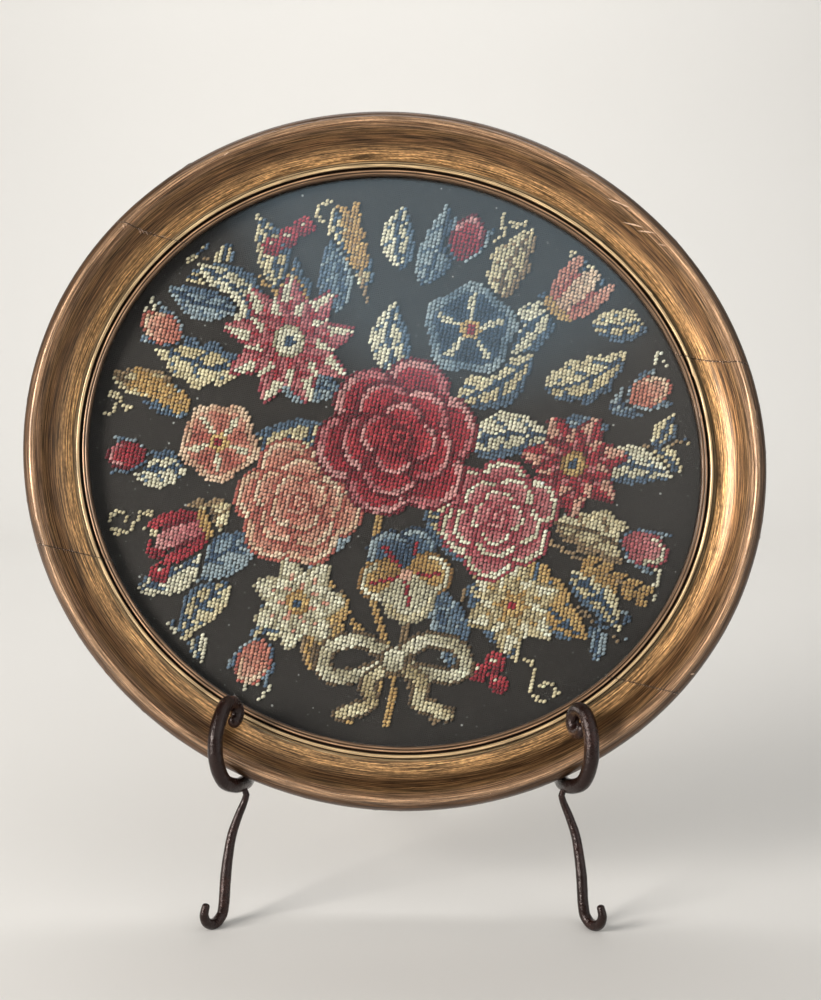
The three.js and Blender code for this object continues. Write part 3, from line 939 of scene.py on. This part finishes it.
def path(chart, points, thick, yarn, shade=1.0):
    """A stem or tendril along a smooth run of points."""
    p = np.array(points, float)
    p = np.vstack([2 * p[0] - p[1], p, 2 * p[-1] - p[-2]])
    u = np.linspace(0, 1, 24, endpoint=False)[:, None]
    run = [0.5 * (2 * b + (c - a) * u + (2 * a - 5 * b + 4 * c - d) * u ** 2 + (3 * b - a - 3 * c + d) * u ** 3)
           for a, b, c, d in zip(p, p[1:], p[2:], p[3:])]
    gap = np.full(chart.x.shape, 1e9)
    for px, py in np.vstack(run):
        gap = np.minimum(gap, np.hypot(chart.x - px, chart.y - py))
    chart.work(gap < thick, yarn, shade)


def tendril(chart, x, y, turn, size, hand, yarn):
    """A trailing tendril that winds up at its end."""
    t = np.linspace(0, 1, 30)
    stem = np.stack([t * size, 0.16 * size * np.sin(t * 5.5) * hand], 1)
    b = np.linspace(-math.pi / 2, 1.15 * math.pi, 22) * hand
    ring = 6.4
    r = ring * np.linspace(1, 0.62, 22)
    coil = stem[-1] + np.stack([r * np.cos(b), hand * ring + r * np.sin(b)], 1)
    run = np.stack(turned(*np.vstack([stem, coil]).T, math.radians(turn)), 1)
    path(chart, (run + (x, y))[::3], 1.15, yarn, 1.5)


def ears(chart, x, y, turn, size, yarn):
    """An ear of grain: plump seeds set in pairs along a stalk."""
    u, v = chart.local(x, y, turn)
    chart.work((u > -0.5 * size) & (u < size * 0.9) & (np.abs(v) < 1.1), "bark", 1.8)
    for k in range(5):
        dx, dy = turned(k * size / 5, 0, math.radians(turn))
        for side in (-1, 1):
            a, b = chart.local(x + dx, y + dy, turn + side * 32)
            chart.work(((a - 5.0) / 5.2) ** 2 + (b / 2.5) ** 2 < 1, yarn, 1.2 + 0.2 * b)


def berries(chart, x, y, yarn, spots):
    """A few round berries, each with a spark of light."""
    for dx, dy in spots:
        u, v = chart.local(x + dx, y + dy)
        chart.work(np.hypot(u, v) < 5.4, yarn, 0.9 + 0.16 * v)
        chart.work(np.hypot(u + 1.2, v - 1.4) < 1.3, "ivory", 1.4)


def ribbon(chart, points, thick, yarn):
    """A length of ribbon, pale down one side and shaded down the other."""
    path(chart, points, thick + 1.5, "bark", 0.2)
    path(chart, points, thick, yarn, 1.0 + 0.9 * np.sin((chart.x * 0.8 + chart.y) / 5.0))


def knot(chart, x, y):
    """The tight knot in the middle of the bow."""
    u, v = chart.local(x, y)
    chart.work(np.hypot(u, v * 0.9) < 7.0, "bark", 0.2)
    chart.work(np.hypot(u, v * 0.9) < 5.8, "ivory", 1.2 + v / 6)


# The sheaf from its lowest layer to its top one, in the period's usual motifs: each drawing and its places.
DESIGN = (
    (tendril,  # foot x and y, direction, length, hand, yarn
     (-122, 66, 120, 20, 1, "ivory"), (-126, -30, 206, 18, -1, "cream"), (130, 44, 40, 18, -1, "ivory"),
     (-26, 118, 112, 16, 1, "cream"), (52, 116, 56, 18, -1, "cream"), (66, -104, -64, 22, 1, "cream"),
     (-62, -104, -112, 20, -1, "ivory"), (134, -56, -76, 18, 1, "ivory"), (-138, 26, 150, 12, 1, "cream")),
    (path,  # points, half thickness, yarn, shade
     (((0, 0), (-12, -60), (-2, -104)), 1.9, "ochre", 1.3), (((20, -20), (14, -64), (2, -104)), 1.9, "bark", 1.3),
     (((-48, -30), (-26, -80), (-4, -104)), 1.9, "ochre", 1.3), (((56, -40), (30, -82), (4, -104)), 1.9, "bark", 1.3),
     (((-4, -104), (-10, -122), (-24, -138)), 1.9, "ochre", 1.3),
     (((4, -104), (10, -122), (22, -138)), 1.9, "bark", 1.3),
     (((0, -104), (-1, -122), (-4, -140)), 1.9, "ochre", 1.3)),
    (spray,  # stalk x and y, direction, length, pairs, pale yarn, dark yarn, bend
     (90, 92, 46, 46, 2, "cream", "blue", -0.12), (-84, 86, 126, 48, 2, "cream", "blue", 0.12),
     (96, -78, -44, 48, 2, "sky", "blue", 0.12), (-92, -84, -140, 44, 2, "ivory", "blue", -0.12),
     (124, 6, 0, 28, 1, "cream", "blue", 0.1)),
    (leaf,  # stalk x and y, direction, length, pale yarn, dark yarn, bend, fatness, teeth
     (-14, 92, 112, 46, "cream", "blue", 0.10, 0.24), (14, 92, 74, 46, "sky", "blue", -0.10, 0.22),
     (54, 84, 60, 44, "cream", "bark", 0.08, 0.24, 3), (72, 78, 26, 44, "blue", "sky", -0.1, 0.23),
     (58, 52, 40, 46, "ivory", "blue", 0.10, 0.25), (78, 36, 26, 50, "cream", "blue", -0.12, 0.24, 4),
     (112, 26, 4, 34, "sky", "blue", 0.1, 0.26), (104, -6, -8, 42, "ivory", "blue", 0.12, 0.25),
     (84, -34, -30, 56, "cream", "bark", 0.12, 0.22, 4), (66, -54, -48, 54, "ochre", "blue", -0.1, 0.25, 3),
     (40, -66, -62, 48, "cream", "blue", 0.10, 0.25), (24, -70, -84, 44, "blue", "sky", 0.08, 0.22),
     (-26, -70, -112, 46, "ochre", "bark", -0.1, 0.25, 3), (-46, -58, -128, 50, "cream", "blue", 0.1, 0.25),
     (-70, -44, -148, 54, "sky", "blue", -0.1, 0.22), (-84, -26, -170, 50, "cream", "bark", 0.12, 0.24, 4),
     (-106, -4, 176, 38, "ivory", "blue", 0.10, 0.26), (-108, 22, 158, 36, "blue", "sky", -0.1, 0.24),
     (-78, 46, 158, 56, "cream", "blue", 0.12, 0.22, 4), (-70, 70, 138, 48, "ivory", "blue", -0.1, 0.25),
     (-46, 82, 120, 46, "ochre", "blue", 0.1, 0.24, 3), (-30, 78, 96, 40, "blue", "sky", 0.0, 0.24),
     (-30, 34, 148, 44, "sky", "blue", 0.1, 0.26), (-34, 14, 186, 48, "cream", "blue", 0.1, 0.26),
     (34, 30, 34, 46, "cream", "blue", -0.1, 0.26), (38, 6, 2, 46, "ivory", "blue", 0.12, 0.27),
     (18, -26, -56, 42, "cream", "blue", 0.1, 0.27), (-20, -26, -124, 42, "sky", "blue", -0.1, 0.26),
     (2, 42, 92, 42, "ivory", "blue", 0.1, 0.25), (84, 8, 12, 30, "blue", "sky", 0.1, 0.3),
     (4, 100, 86, 36, "ivory", "blue", 0.1, 0.25), (-62, 92, 108, 40, "cream", "blue", -0.08, 0.22),
     (104, 70, 12, 38, "cream", "blue", -0.1, 0.24), (-100, -48, -150, 42, "ivory", "blue", 0.1, 0.24),
     (-86, -66, -128, 40, "cream", "blue", -0.1, 0.24), (92, -60, -52, 40, "cream", "blue", 0.1, 0.22),
     (-118, 40, 170, 34, "cream", "bark", 0.1, 0.24), (-84, 78, 158, 40, "sky", "blue", 0.1, 0.22)),
    (ears, (-18, 100, 100, 36, "ochre"), (98, -54, -30, 40, "ochre"), (-108, 26, 152, 34, "ochre")),
    (bud, (34, 104, 70, 26, "crimson", "rose"), (122, 30, 22, 24, "coral", "peach"),
     (-128, 0, 178, 22, "crimson", "rose"), (-112, 62, 150, 24, "coral", "peach"),
     (118, -42, -24, 26, "rose", "ivory"), (-66, -94, -118, 26, "coral", "peach")),
    (berries, (44, -112, "crimson", ((0, 0), (9, 5), (10, -6))), (-116, -52, "crimson", ((0, 0), (-9, 4), (-6, -9))),
     (-56, 118, "crimson", ((0, 0), (-9, -5), (8, 6)))),
    (cup_flower, (84, 76, 44, 34, "coral", "peach"), (-96, -34, 202, 32, "crimson", "rose")),
    (star_flower, (-56, 62, 8, 35, 9, "rose", "ivory", "crimson", "ivory", "blue")),
    (bell_flower, (40, 68, 12, 26, "blue", "sky"), (-92, 8, -20, 22, "coral", "peach", "ivory", "ochre")),
    (star_flower, (94, -4, 12, 28, 7, "crimson", "coral", "rose", "ochre", "blue", 0.24),
     (62, -78, 20, 25, 6, "cream", "ivory", "ochre", "ochre", "crimson", 0.27),
     (-50, -76, 0, 25, 7, "ivory", "ivory", "coral", "ochre", "blue", 0.26)),
    (pansy, (6, -62, 8, 25)),
    (rose, (54, -32, 20, 31, "rose", "ivory"), (-50, -24, 50, 33, "coral", "peach"),
     (2, 10, 10, 42, "crimson", "rose")),
    (ribbon, (((0, -104), (-18, -96), (-34, -100), (-36, -112), (-20, -114), (0, -106)), 3.2, "ivory"),
     (((0, -104), (18, -96), (34, -100), (36, -112), (20, -114), (0, -106)), 3.2, "ivory"),
     (((-2, -108), (-14, -118), (-12, -128), (-28, -134)), 3.0, "cream"),
     (((2, -108), (14, -118), (12, -128), (28, -134)), 3.0, "cream")),
    (knot, (0, -106)),
)


def yarn_material():
    material, tree, shader = new_material("Crewel wool")
    grain = fibres(body_place(tree), 1900.0, (1.0, 0.55, 0.55))
    colour = blend(1.0, attribute(tree, "yarn", "Color"), ramp(grain, (0.3, 0.66), (0.7, 1.25)), "MULTIPLY")
    # Painted shade: each stitch darkens toward its base by its crown height, for the shade in the gaps between
    # stitches.
    painted_gap_shade = ramp(attribute(tree, "crown"), (0.36, 0.22), (0.60, 0.74), (0.85, 1.12))
    put(shader, Base_Color=blend(1.0, colour, painted_gap_shade, "MULTIPLY"), Roughness=0.8, Sheen_Weight=0.25, Sheen_Roughness=0.5)
    bump(shader, grain, 0.5, 0.00018)
    return material


def stitch_tree(inputs):
    """One plump oval of wool at each point, slanted over its crossing."""
    tree, given, result = geometry_tree("Wool stitches", inputs)
    bead = add(tree, "GeometryNodeMeshUVSphere", (), "Mesh", Segments=8, Rings=4, Radius=1.0)
    up = add(tree, "ShaderNodeSeparateXYZ", (), "Z", _0=here(tree))
    # The crown is the height within the bead; the wool uses it for the painted shade near each stitch's base.
    bead = add(tree, "GeometryNodeStoreNamedAttribute", {"data_type": "FLOAT", "domain": "POINT"}, Geometry=bead,
               Name="crown", Value=reckon("MULTIPLY_ADD", up, 0.5, 0.5))
    shape = add(tree, "ShaderNodeCombineXYZ", X=given["Length"], Y=given["Width"], Z=given["Height"])
    oval = add(tree, "GeometryNodeTransform", Geometry=bead, Scale=shape)
    soft = add(tree, "GeometryNodeSetShadeSmooth", _0=oval)

    def spread(low, high, offset):
        chance = add(tree, "FunctionNodeRandomValue", {"data_type": "FLOAT"}, 1,
                     _2=low, _3=high, Seed=given["Seed"] + offset)
        return chance * given["Unevenness"]

    turn = add(tree, "ShaderNodeCombineXYZ", Y=spread(-1.0, 1.0, 2), Z=given["Slant"] + spread(-1.6, 1.6, 1))
    scatter = add(tree, "GeometryNodeInstanceOnPoints", Points=given["Geometry"], Instance=soft, Rotation=turn,
                  Scale=spread(-0.9, 0.6, 3) + 1.0)
    finish_tree(result, scatter, given["Yarn"])
    return tree


class WOOLWORK_OT_stitches(bpy.types.Operator):
    """Works the flowers in wool, one raised stitch to each canvas crossing"""
    bl_idname = "woolwork.stitches"
    bl_label = "Wool stitches"

    def execute(self, context):
        given = settings("wool")
        rng = np.random.default_rng(given.seed)
        i, j = np.meshgrid(np.arange(-90, 91), np.arange(-95, 96), indexing="ij")
        x, y = turned(i * given.column_pitch, j * given.row_pitch, given.grid_turn)
        ox, oy = turned(x, y, -ROLL)
        inside = (ox / (SIGHT_A - 5)) ** 2 + (oy / (SIGHT_B - 5)) ** 2 < 1
        x, y, ox, oy = (k[inside] for k in (x, y, ox, oy))
        chart = Chart(x / DESIGN_SCALE, y / DESIGN_SCALE)
        for draw, *places in DESIGN:
            for spot in places:
                draw(chart, *spot)
        x, y, ox, oy, yarn, shade = (k[chart.yarn >= 0] for k in (x, y, ox, oy, chart.yarn, chart.shade))
        count = len(x)
        shade = np.clip(shade + rng.normal(0, 0.22, count), 0, 2)
        palette = np.array([colours for family, colours in YARNS.values()])
        low = np.minimum(shade.astype(int), 1)
        share = (shade - low)[:, None]
        colour = palette[yarn, low] * (1 - share) + palette[yarn, low + 1] * share
        fade = 1 + rng.normal(0, 0.12, count)[:, None] + 0.07 * np.sin(ox / 23 + oy / 31)[:, None]
        colour = np.clip(colour * fade, 0.003, 0.9)
        x = x + rng.normal(0, 0.11, count) + 0.22 * np.sin(oy / 9.5 + ox / 31) + 0.3 * np.sin(oy / 27)
        y = y + rng.normal(0, 0.11, count) + 0.20 * np.sin(ox / 11 - oy / 37) + 0.3 * np.sin(ox / 33)
        n = CLOTH_N + ripple(ox, oy) + CLOTH_THICK / 2 + 0.30 + rng.normal(0, 0.08, count)
        values = {"Length": given.length, "Width": given.width, "Height": given.height,
                  "Slant": given.slant + given.grid_turn, "Unevenness": 0.12, "Seed": given.seed,
                  "Yarn": yarn_material()}
        tree = stitch_tree(values)
        families = [family for family, colours in YARNS.values()]
        for family in dict.fromkeys(families):
            mine = np.isin(yarn, [k for k, f in enumerate(families) if f == family])
            work = mesh_object(f"stitches_{family}", np.stack([x, y, n], 1)[mine], [], {"yarn": colour[mine]})
            place(grow(work, tree, values), panel_matrix(False))
        return {"FINISHED"}


# ---- the easel ----

SADDLE_X, SADDLE_Z, SADDLE_N = 83.5, 67.5, 17.0
SADDLE_V = float((SADDLE_Z - CENTRE[2] - SADDLE_N * math.sin(LEAN)) / math.cos(LEAN))
STAND_X = float(sum(box_mm("rear_leg"))[0] / 2)
SPLAY = math.radians(28)
UPRIGHT_TOP = 66.0
UPRIGHT_X = 44.0
BARS = {"upper": 46.0, "lower": -104.0}
SCROLLS = {
    "left": dict(f=10.4, h=35.6, tip=3.9, root=8, start=236, end=30),
    "right": dict(f=12.9, h=32.3, tip=3.9, root=8, start=330, end=20),
}
LEG_X = 81.5
FOOT_X, FOOT_Y, FOOT_R = 10.2, -17.0, 7.0
FOOT_SPLAY = math.radians(36)
FOOT_CUT = 0.7


def smooth_curve(points, step=1.0):
    """Centripetal spline through the points, as the part's own rods are bent."""
    p = np.array(points, float)
    p = np.vstack([2 * p[0] - p[1], p, 2 * p[-1] - p[-2]])
    out = []
    for p0, p1, p2, p3 in zip(p, p[1:], p[2:], p[3:]):
        d0, d1, d2 = (max(np.linalg.norm(b - a) ** 0.5, 1e-4) for a, b in ((p0, p1), (p1, p2), (p2, p3)))
        m1 = ((p1 - p0) / d0 - (p2 - p0) / (d0 + d1) + (p2 - p1) / d1) * d1
        m2 = ((p2 - p1) / d1 - (p3 - p1) / (d1 + d2) + (p3 - p2) / d2) * d1
        u = np.linspace(0, 1, max(2, int(np.linalg.norm(p2 - p1) / step)), endpoint=False)[:, None]
        out.append((2 * u ** 3 - 3 * u ** 2 + 1) * p1 + (u ** 3 - 2 * u ** 2 + u) * m1
                   + (-2 * u ** 3 + 3 * u ** 2) * p2 + (u ** 3 - u ** 2) * m2)
    return np.vstack([*out, p[-2][None]])


def tube(curve, radius, sides=20):
    """A round bar along a curve, with a radius at each point and domed ends."""
    radius = np.broadcast_to(radius, len(curve)).astype(float)
    tangent = np.gradient(curve, axis=0)
    tangent /= np.linalg.norm(tangent, axis=1)[:, None]
    side = np.cross(tangent[0], (0.3, 0.2, 1.0))
    frames = []
    for t in tangent:
        side = side - t * side.dot(t)
        side = side / np.linalg.norm(side)
        frames.append((side, np.cross(t, side)))
    dome = np.radians((25, 50, 72))
    reach, shrink = 0.75 * np.sin(dome), np.cos(dome)
    centres = np.vstack([curve[0] - tangent[0] * (radius[0] * reach[::-1, None]), curve,
                         curve[-1] + tangent[-1] * (radius[-1] * reach[:, None])])
    radii = np.concatenate([radius[0] * shrink[::-1], radius, radius[-1] * shrink])
    frames = np.array([frames[0]] * 3 + frames + [frames[-1]] * 3)[:, None]
    around = np.arange(sides) * TURN / sides
    spokes = np.cos(around)[:, None] * frames[:, :, 0] + np.sin(around)[:, None] * frames[:, :, 1]
    points = centres[:, None] + radii[:, None, None] * spokes
    return points.reshape(-1, 3), skin(len(centres), sides, capped=True)


def iron_material():
    base = np.array(settings("easel").iron)
    material, tree, shader = new_material("Dark wrought iron")
    body = body_place(tree)
    cloud, grit, scale = noise(body, 70.0, 5.0, 0.6), noise(body, 900.0, 3.0, 0.7), noise(body, 260.0, 4.0, 0.65)
    rust = ramp(cloud * 0.6 + grit * 0.5, (0.56, 0.0), (0.70, 0.55))
    pits = specks(body, 520.0, 0.22, 0.2)
    colour = blend(rust, blend(cloud, base * 0.55, base * 1.7), (0.050, 0.017, 0.011))
    put(shader, Base_Color=blend(pits * 0.5, colour, (0.012, 0.009, 0.008)), Metallic=0.35,
        Roughness=cloud * 0.24 + rust * 0.18 + 0.09)
    bump(shader, grit * 0.6 + scale * 1.6 - pits * 0.6, 0.7, 0.00045)
    return material


def forge_tree(inputs):
    """Hammers a smooth bar: shallow uneven facets all over."""
    tree, given, result = geometry_tree("Hammered bar", inputs)
    marks = noise(here(tree), reckon("DIVIDE", 1.0, given["Mark size"]), 2.0, seed=given["Seed"])
    struck = pushed(tree, given["Geometry"], (marks - 0.62) * given["Depth"] * 2.0)
    finish_tree(result, struck, given["Finish"])
    return tree


def from_hook(side, f, h):
    """A point of the hook in its own splayed plane: f forwards of the saddle and h above it."""
    splay = max(f, 0) * math.sin(SPLAY)
    return from_panel(STAND_X + side * (SADDLE_X + splay), SADDLE_V + h, SADDLE_N + f * math.cos(SPLAY))


def upright_x(v):
    return SADDLE_X + (v - SADDLE_V) / (UPRIGHT_TOP - SADDLE_V) * (UPRIGHT_X - SADDLE_X)


def side_rod_points(side, word, radius):
    """From the scroll's tip round the hook, through the saddle and up the back."""
    scroll = SCROLLS[word]
    points = []
    for share in np.linspace(0, 1, 10):
        a = math.radians(scroll["start"] + (scroll["end"] - scroll["start"]) * share)
        r = scroll["tip"] + (scroll["root"] - scroll["tip"]) * share
        points.append(from_hook(side, scroll["f"] + r * math.cos(a), scroll["h"] + r * math.sin(a)))
    points += [from_hook(side, f, h) for f, h in ((23.6, 26), (22.6, 13), (16, 3.2), (6, 0), (-8, 0), (-22, 0))]
    lie = -(radius + GAP)
    for v, n in ((SADDLE_V + 4, lie - 9), (SADDLE_V + 17, lie - 9), (SADDLE_V + 42, lie - 2), (SADDLE_V + 62, lie),
                 (-40, lie), (UPRIGHT_TOP, lie)):
        points.append(from_panel(STAND_X + side * upright_x(v), v, n))
    return points


def front_leg_points(side, rod, leg):
    """From the weld under the hook down to the heel and round the foot's scroll."""
    weld = from_hook(side, -1, -(rod + 1.5))
    weld[0] = STAND_X + side * LEG_X
    out = np.array((side * math.sin(FOOT_SPLAY), -math.cos(FOOT_SPLAY), 0.0))
    heel = weld + np.array((side * FOOT_X, FOOT_Y, 0)) + out * FOOT_R
    heel[2] = leg - FOOT_CUT + FOOT_R
    bends = ((0, 0, 0), (0.8, 0, -3), (4.1, -2, -11), (7, -5, -19.5), (8.6, -8.5, -29), (9.5, -12, -38))
    foot = [heel + out * FOOT_R * math.cos(a) + np.array((0, 0, FOOT_R * math.sin(a)))
            for a in np.radians((180, 216, 252, 270, 288, 324, 360, 396))]
    return [weld + np.array((side * x, y, z)) for x, y, z in bends] + foot


def collar(centre, direction, radius, length):
    """A swelling of weld metal round a joint, as a short fat tube."""
    t = np.linspace(-1, 1, 11)
    curve = centre + direction / np.linalg.norm(direction) * (t[:, None] * length / 2)
    return tube(curve, radius * np.sqrt(np.clip(1 - (0.86 * t) ** 2, 0.02, 1)), 18)


class WOOLWORK_OT_easel(bpy.types.Operator):
    """Forges the hooked side rods, scrolled feet, cross bars and rear leg"""
    bl_idname = "woolwork.easel"
    bl_label = "Iron easel"

    def execute(self, context):
        given = settings("easel")
        values = {"Depth": given.hammer, "Mark size": 6.0, "Seed": 0.0, "Finish": iron_material()}
        tree = forge_tree(values)
        jobs = []
        for word, side in (("left", -1), ("right", 1)):
            curve = smooth_curve(side_rod_points(side, word, given.rod))
            radius = given.rod * np.interp(run_along(curve), [0, 8, 30], [0.88, 0.94, 1.0])
            jobs.append((f"side_rod_{word}", [tube(curve, radius)]))
            curve = smooth_curve(front_leg_points(side, given.rod, given.leg), 0.8)
            root = curve[0] + np.array((side * 1.2, 0, 3.6)) * np.linspace(1, 0, 5, endpoint=False)[:, None]
            curve = np.vstack([root, curve])
            run = run_along(curve)
            radius = given.leg * np.interp(run, [0, 4, 12, 24, 46, run[-1] - 14, run[-1]],
                                           [0.52, 0.60, 0.72, 0.84, 1.0, 0.98, 0.70])
            jobs.append((f"front_leg_{word}", [tube(curve, radius)]))
        bar_n = -(given.rod + GAP)
        for name, v in BARS.items():
            half = float(upright_x(v)) - 1.0
            start, end = (from_panel(STAND_X + side * half, v, bar_n) for side in (-1, 1))
            welds = [collar(from_panel(STAND_X + side * (half - given.rod), v, bar_n), np.array((1.0, 0.0, 0.0)),
                            given.bar + 0.5, 5.0) for side in (-1, 1)]
            curve = start + (end - start) * np.linspace(0, 1, 60)[:, None]
            jobs.append((f"cross_bar_{name}", [tube(curve, given.bar), *welds]))
        bar = from_panel(STAND_X, BARS["upper"], bar_n)
        foot = np.array((STAND_X, box_mm("rear_leg")[1][1] - given.strut - 0.4, -given.strut * 0.2))
        curve = bar + (foot - bar) * np.linspace(0.006, 1, 120)[:, None]
        jobs.append(("rear_leg", [tube(curve, given.strut), collar(curve[1], foot - bar, given.strut + 0.9, 9.0)]))
        for k, (node, parts) in enumerate(jobs):
            starts = np.cumsum([0] + [len(points) for points, faces in parts])
            faces = [tuple(int(start) + corner for corner in face)
                     for start, part in zip(starts, parts) for face in part[1]]
            thing = mesh_object(f"iron_{node}", np.vstack([points for points, _ in parts]), faces)
            grow(thing, tree, {**values, "Seed": float(k)})
            for vertex in thing.data.vertices:
                vertex.co.z = max(vertex.co.z, 0.0)
            place(thing, Matrix.Scale(MM, 4), [node], 60)
        return {"FINISHED"}


# ---- stage ----

FLOOR_WIDTH = 24.0
FLOOR_FRONT, FLOOR_BACK, WALL_TOP, COVE = -3.0, 1.2, 4.0, 0.8
CAMERA_BACK, CAMERA_RIGHT, CAMERA_UP = 737.5, 8.74, -23.5
CAMERA_ELEVATION, CAMERA_AZIMUTH = math.radians(-5), math.radians(0.5)
FOCUS = 4.3


def aim(thing, spot, direction):
    thing.location = spot
    thing.rotation_mode = "QUATERNION"
    thing.rotation_quaternion = Vector(direction).to_track_quat("-Z", "Y")


def soft_light(name, power, size, spot, target, colour):
    lamp = bpy.data.lights.new(name, "AREA")
    lamp.energy = power
    lamp.shape = "RECTANGLE"
    lamp.size, lamp.size_y = size
    lamp.color = colour
    aim(in_scene(name, lamp), spot, Vector(target) - Vector(spot))


def studio_floor(colour):
    """A floor that curves up into the wall behind."""
    cove = [(FLOOR_BACK + COVE * math.sin(a), COVE - COVE * math.cos(a)) for a in np.linspace(0.1, math.pi / 2, 14)]
    sweep = [(FLOOR_FRONT, 0.0), (FLOOR_BACK, 0.0), *cove, (FLOOR_BACK + COVE, WALL_TOP)]
    points = [(x, y, z) for y, z in sweep for x in (-FLOOR_WIDTH / 2, FLOOR_WIDTH / 2)]
    floor = mesh_object("studio_floor", points, [(k, k + 1, k + 3, k + 2) for k in range(0, len(points) - 2, 2)])
    floor.data.shade_smooth()
    material, tree, shader = new_material("Pale floor")
    put(shader, Base_Color=blend(noise(body_place(tree), 2.0), colour * 0.97, colour), Roughness=0.75)
    floor.data.materials.append(material)


def room_light(strength):
    """Warm light from above and to one side, a soft bluish window, and a pale ground behind all."""
    world = bpy.data.worlds.new("Studio room")
    world.use_nodes = True
    tree = world.node_tree
    where = add(tree, "ShaderNodeTexCoord", output="Generated")
    warm = (0.50, 0.485, 0.46)
    room = ramp(dot(where, (0.5, -0.5, 0.707)), (0.70, 0.035), (0.90, warm), (1.0, warm))
    room = blend(ramp(dot(where, (0.03, -0.86, 0.51)), (0.9835, 0.0), (0.992, 1.0)), room, (0.42, 0.58, 0.69))
    seen = add(tree, "ShaderNodeLightPath", output="Is Camera Ray")
    put(tree.nodes["Background"], _0=blend(seen, room, (0.50, 0.49, 0.475)), _1=strength)
    bpy.context.scene.world = world


def photo_camera():
    """The camera at the photograph's angle, a little below the middle of the glass."""
    lens = bpy.data.cameras.new("photo_camera")
    lens.sensor_width = 36.0
    lens.lens = 50.0
    lens.clip_start, lens.clip_end = 0.02, 50
    back = (np.array((1.0, 0, 0)) * math.sin(CAMERA_AZIMUTH) * math.cos(CAMERA_ELEVATION)
            + UP * math.sin(CAMERA_ELEVATION) + OUT * math.cos(CAMERA_AZIMUTH) * math.cos(CAMERA_ELEVATION))
    right = np.cross((0, 0, 1), back)
    right /= np.linalg.norm(right)
    spot = (GLASS_CENTRE + OUT * FOCUS + back * CAMERA_BACK + right * CAMERA_RIGHT
            + np.cross(back, right) * CAMERA_UP)
    camera = in_scene("photo_camera", lens)
    aim(camera, Vector(spot * MM), -back)
    bpy.context.scene.camera = camera


class WOOLWORK_OT_stage(bpy.types.Operator):
    """Sets the pale floor, the soft lights and the camera"""
    bl_idname = "woolwork.stage"
    bl_label = "Stage"

    def execute(self, context):
        given = settings("stage")
        studio_floor(np.array(given.floor))
        middle = Vector(GLASS_CENTRE * MM)
        soft_light("key_light", given.key, (0.75, 0.75), middle + Vector((-1.45, -1.02, 0.46)), middle,
                   (1.0, 0.955, 0.90))
        soft_light("wall_light", given.wall, (1.8, 0.8), (0, 0.75, 1.75), (0, 1.7, 0.25), (1.0, 0.98, 0.95))
        soft_light("fill_light", given.fill, (1.4, 1.4), middle + Vector((1.5, -0.9, 0.2)), middle, (0.95, 0.97, 1.0))
        room_light(given.world)
        photo_camera()
        bpy.context.scene.view_settings.view_transform = "Standard"
        return {"FINISHED"}


STEPS = (WOOLWORK_OT_frame, WOOLWORK_OT_glass, WOOLWORK_OT_ground, WOOLWORK_OT_stitches, WOOLWORK_OT_board,
         WOOLWORK_OT_easel, WOOLWORK_OT_stage)
SETTINGS = {"frame": FrameSettings, "wool": WoolSettings, "easel": EaselSettings, "stage": StageSettings}


class WOOLWORK_PT_panel(bpy.types.Panel):
    """Buttons for each piece and the sizes and colours they use"""
    bl_idname = "WOOLWORK_PT_panel"
    bl_label = "Woolwork panel"
    bl_space_type = "VIEW_3D"
    bl_region_type = "UI"
    bl_category = "Woolwork"

    def draw(self, context):
        for step in STEPS:
            self.layout.operator(step.bl_idname)
        for kind in SETTINGS:
            given = settings(kind)
            column = self.layout.box().column()
            for name in given.__annotations__:
                column.prop(given, name)


def register():
    for kind in (*SETTINGS.values(), *STEPS, WOOLWORK_PT_panel):
        bpy.utils.register_class(kind)
    for name, kind in SETTINGS.items():
        setattr(bpy.types.Scene, f"woolwork_{name}", bpy.props.PointerProperty(type=kind))


def unregister():
    for name in SETTINGS:
        delattr(bpy.types.Scene, f"woolwork_{name}")
    for kind in reversed((*SETTINGS.values(), *STEPS, WOOLWORK_PT_panel)):
        bpy.utils.unregister_class(kind)


def main():
    register()
    for step in STEPS:
        section, name = step.bl_idname.split(".")
        getattr(getattr(bpy.ops, section), name)()


if __name__ == "__main__":
    main()
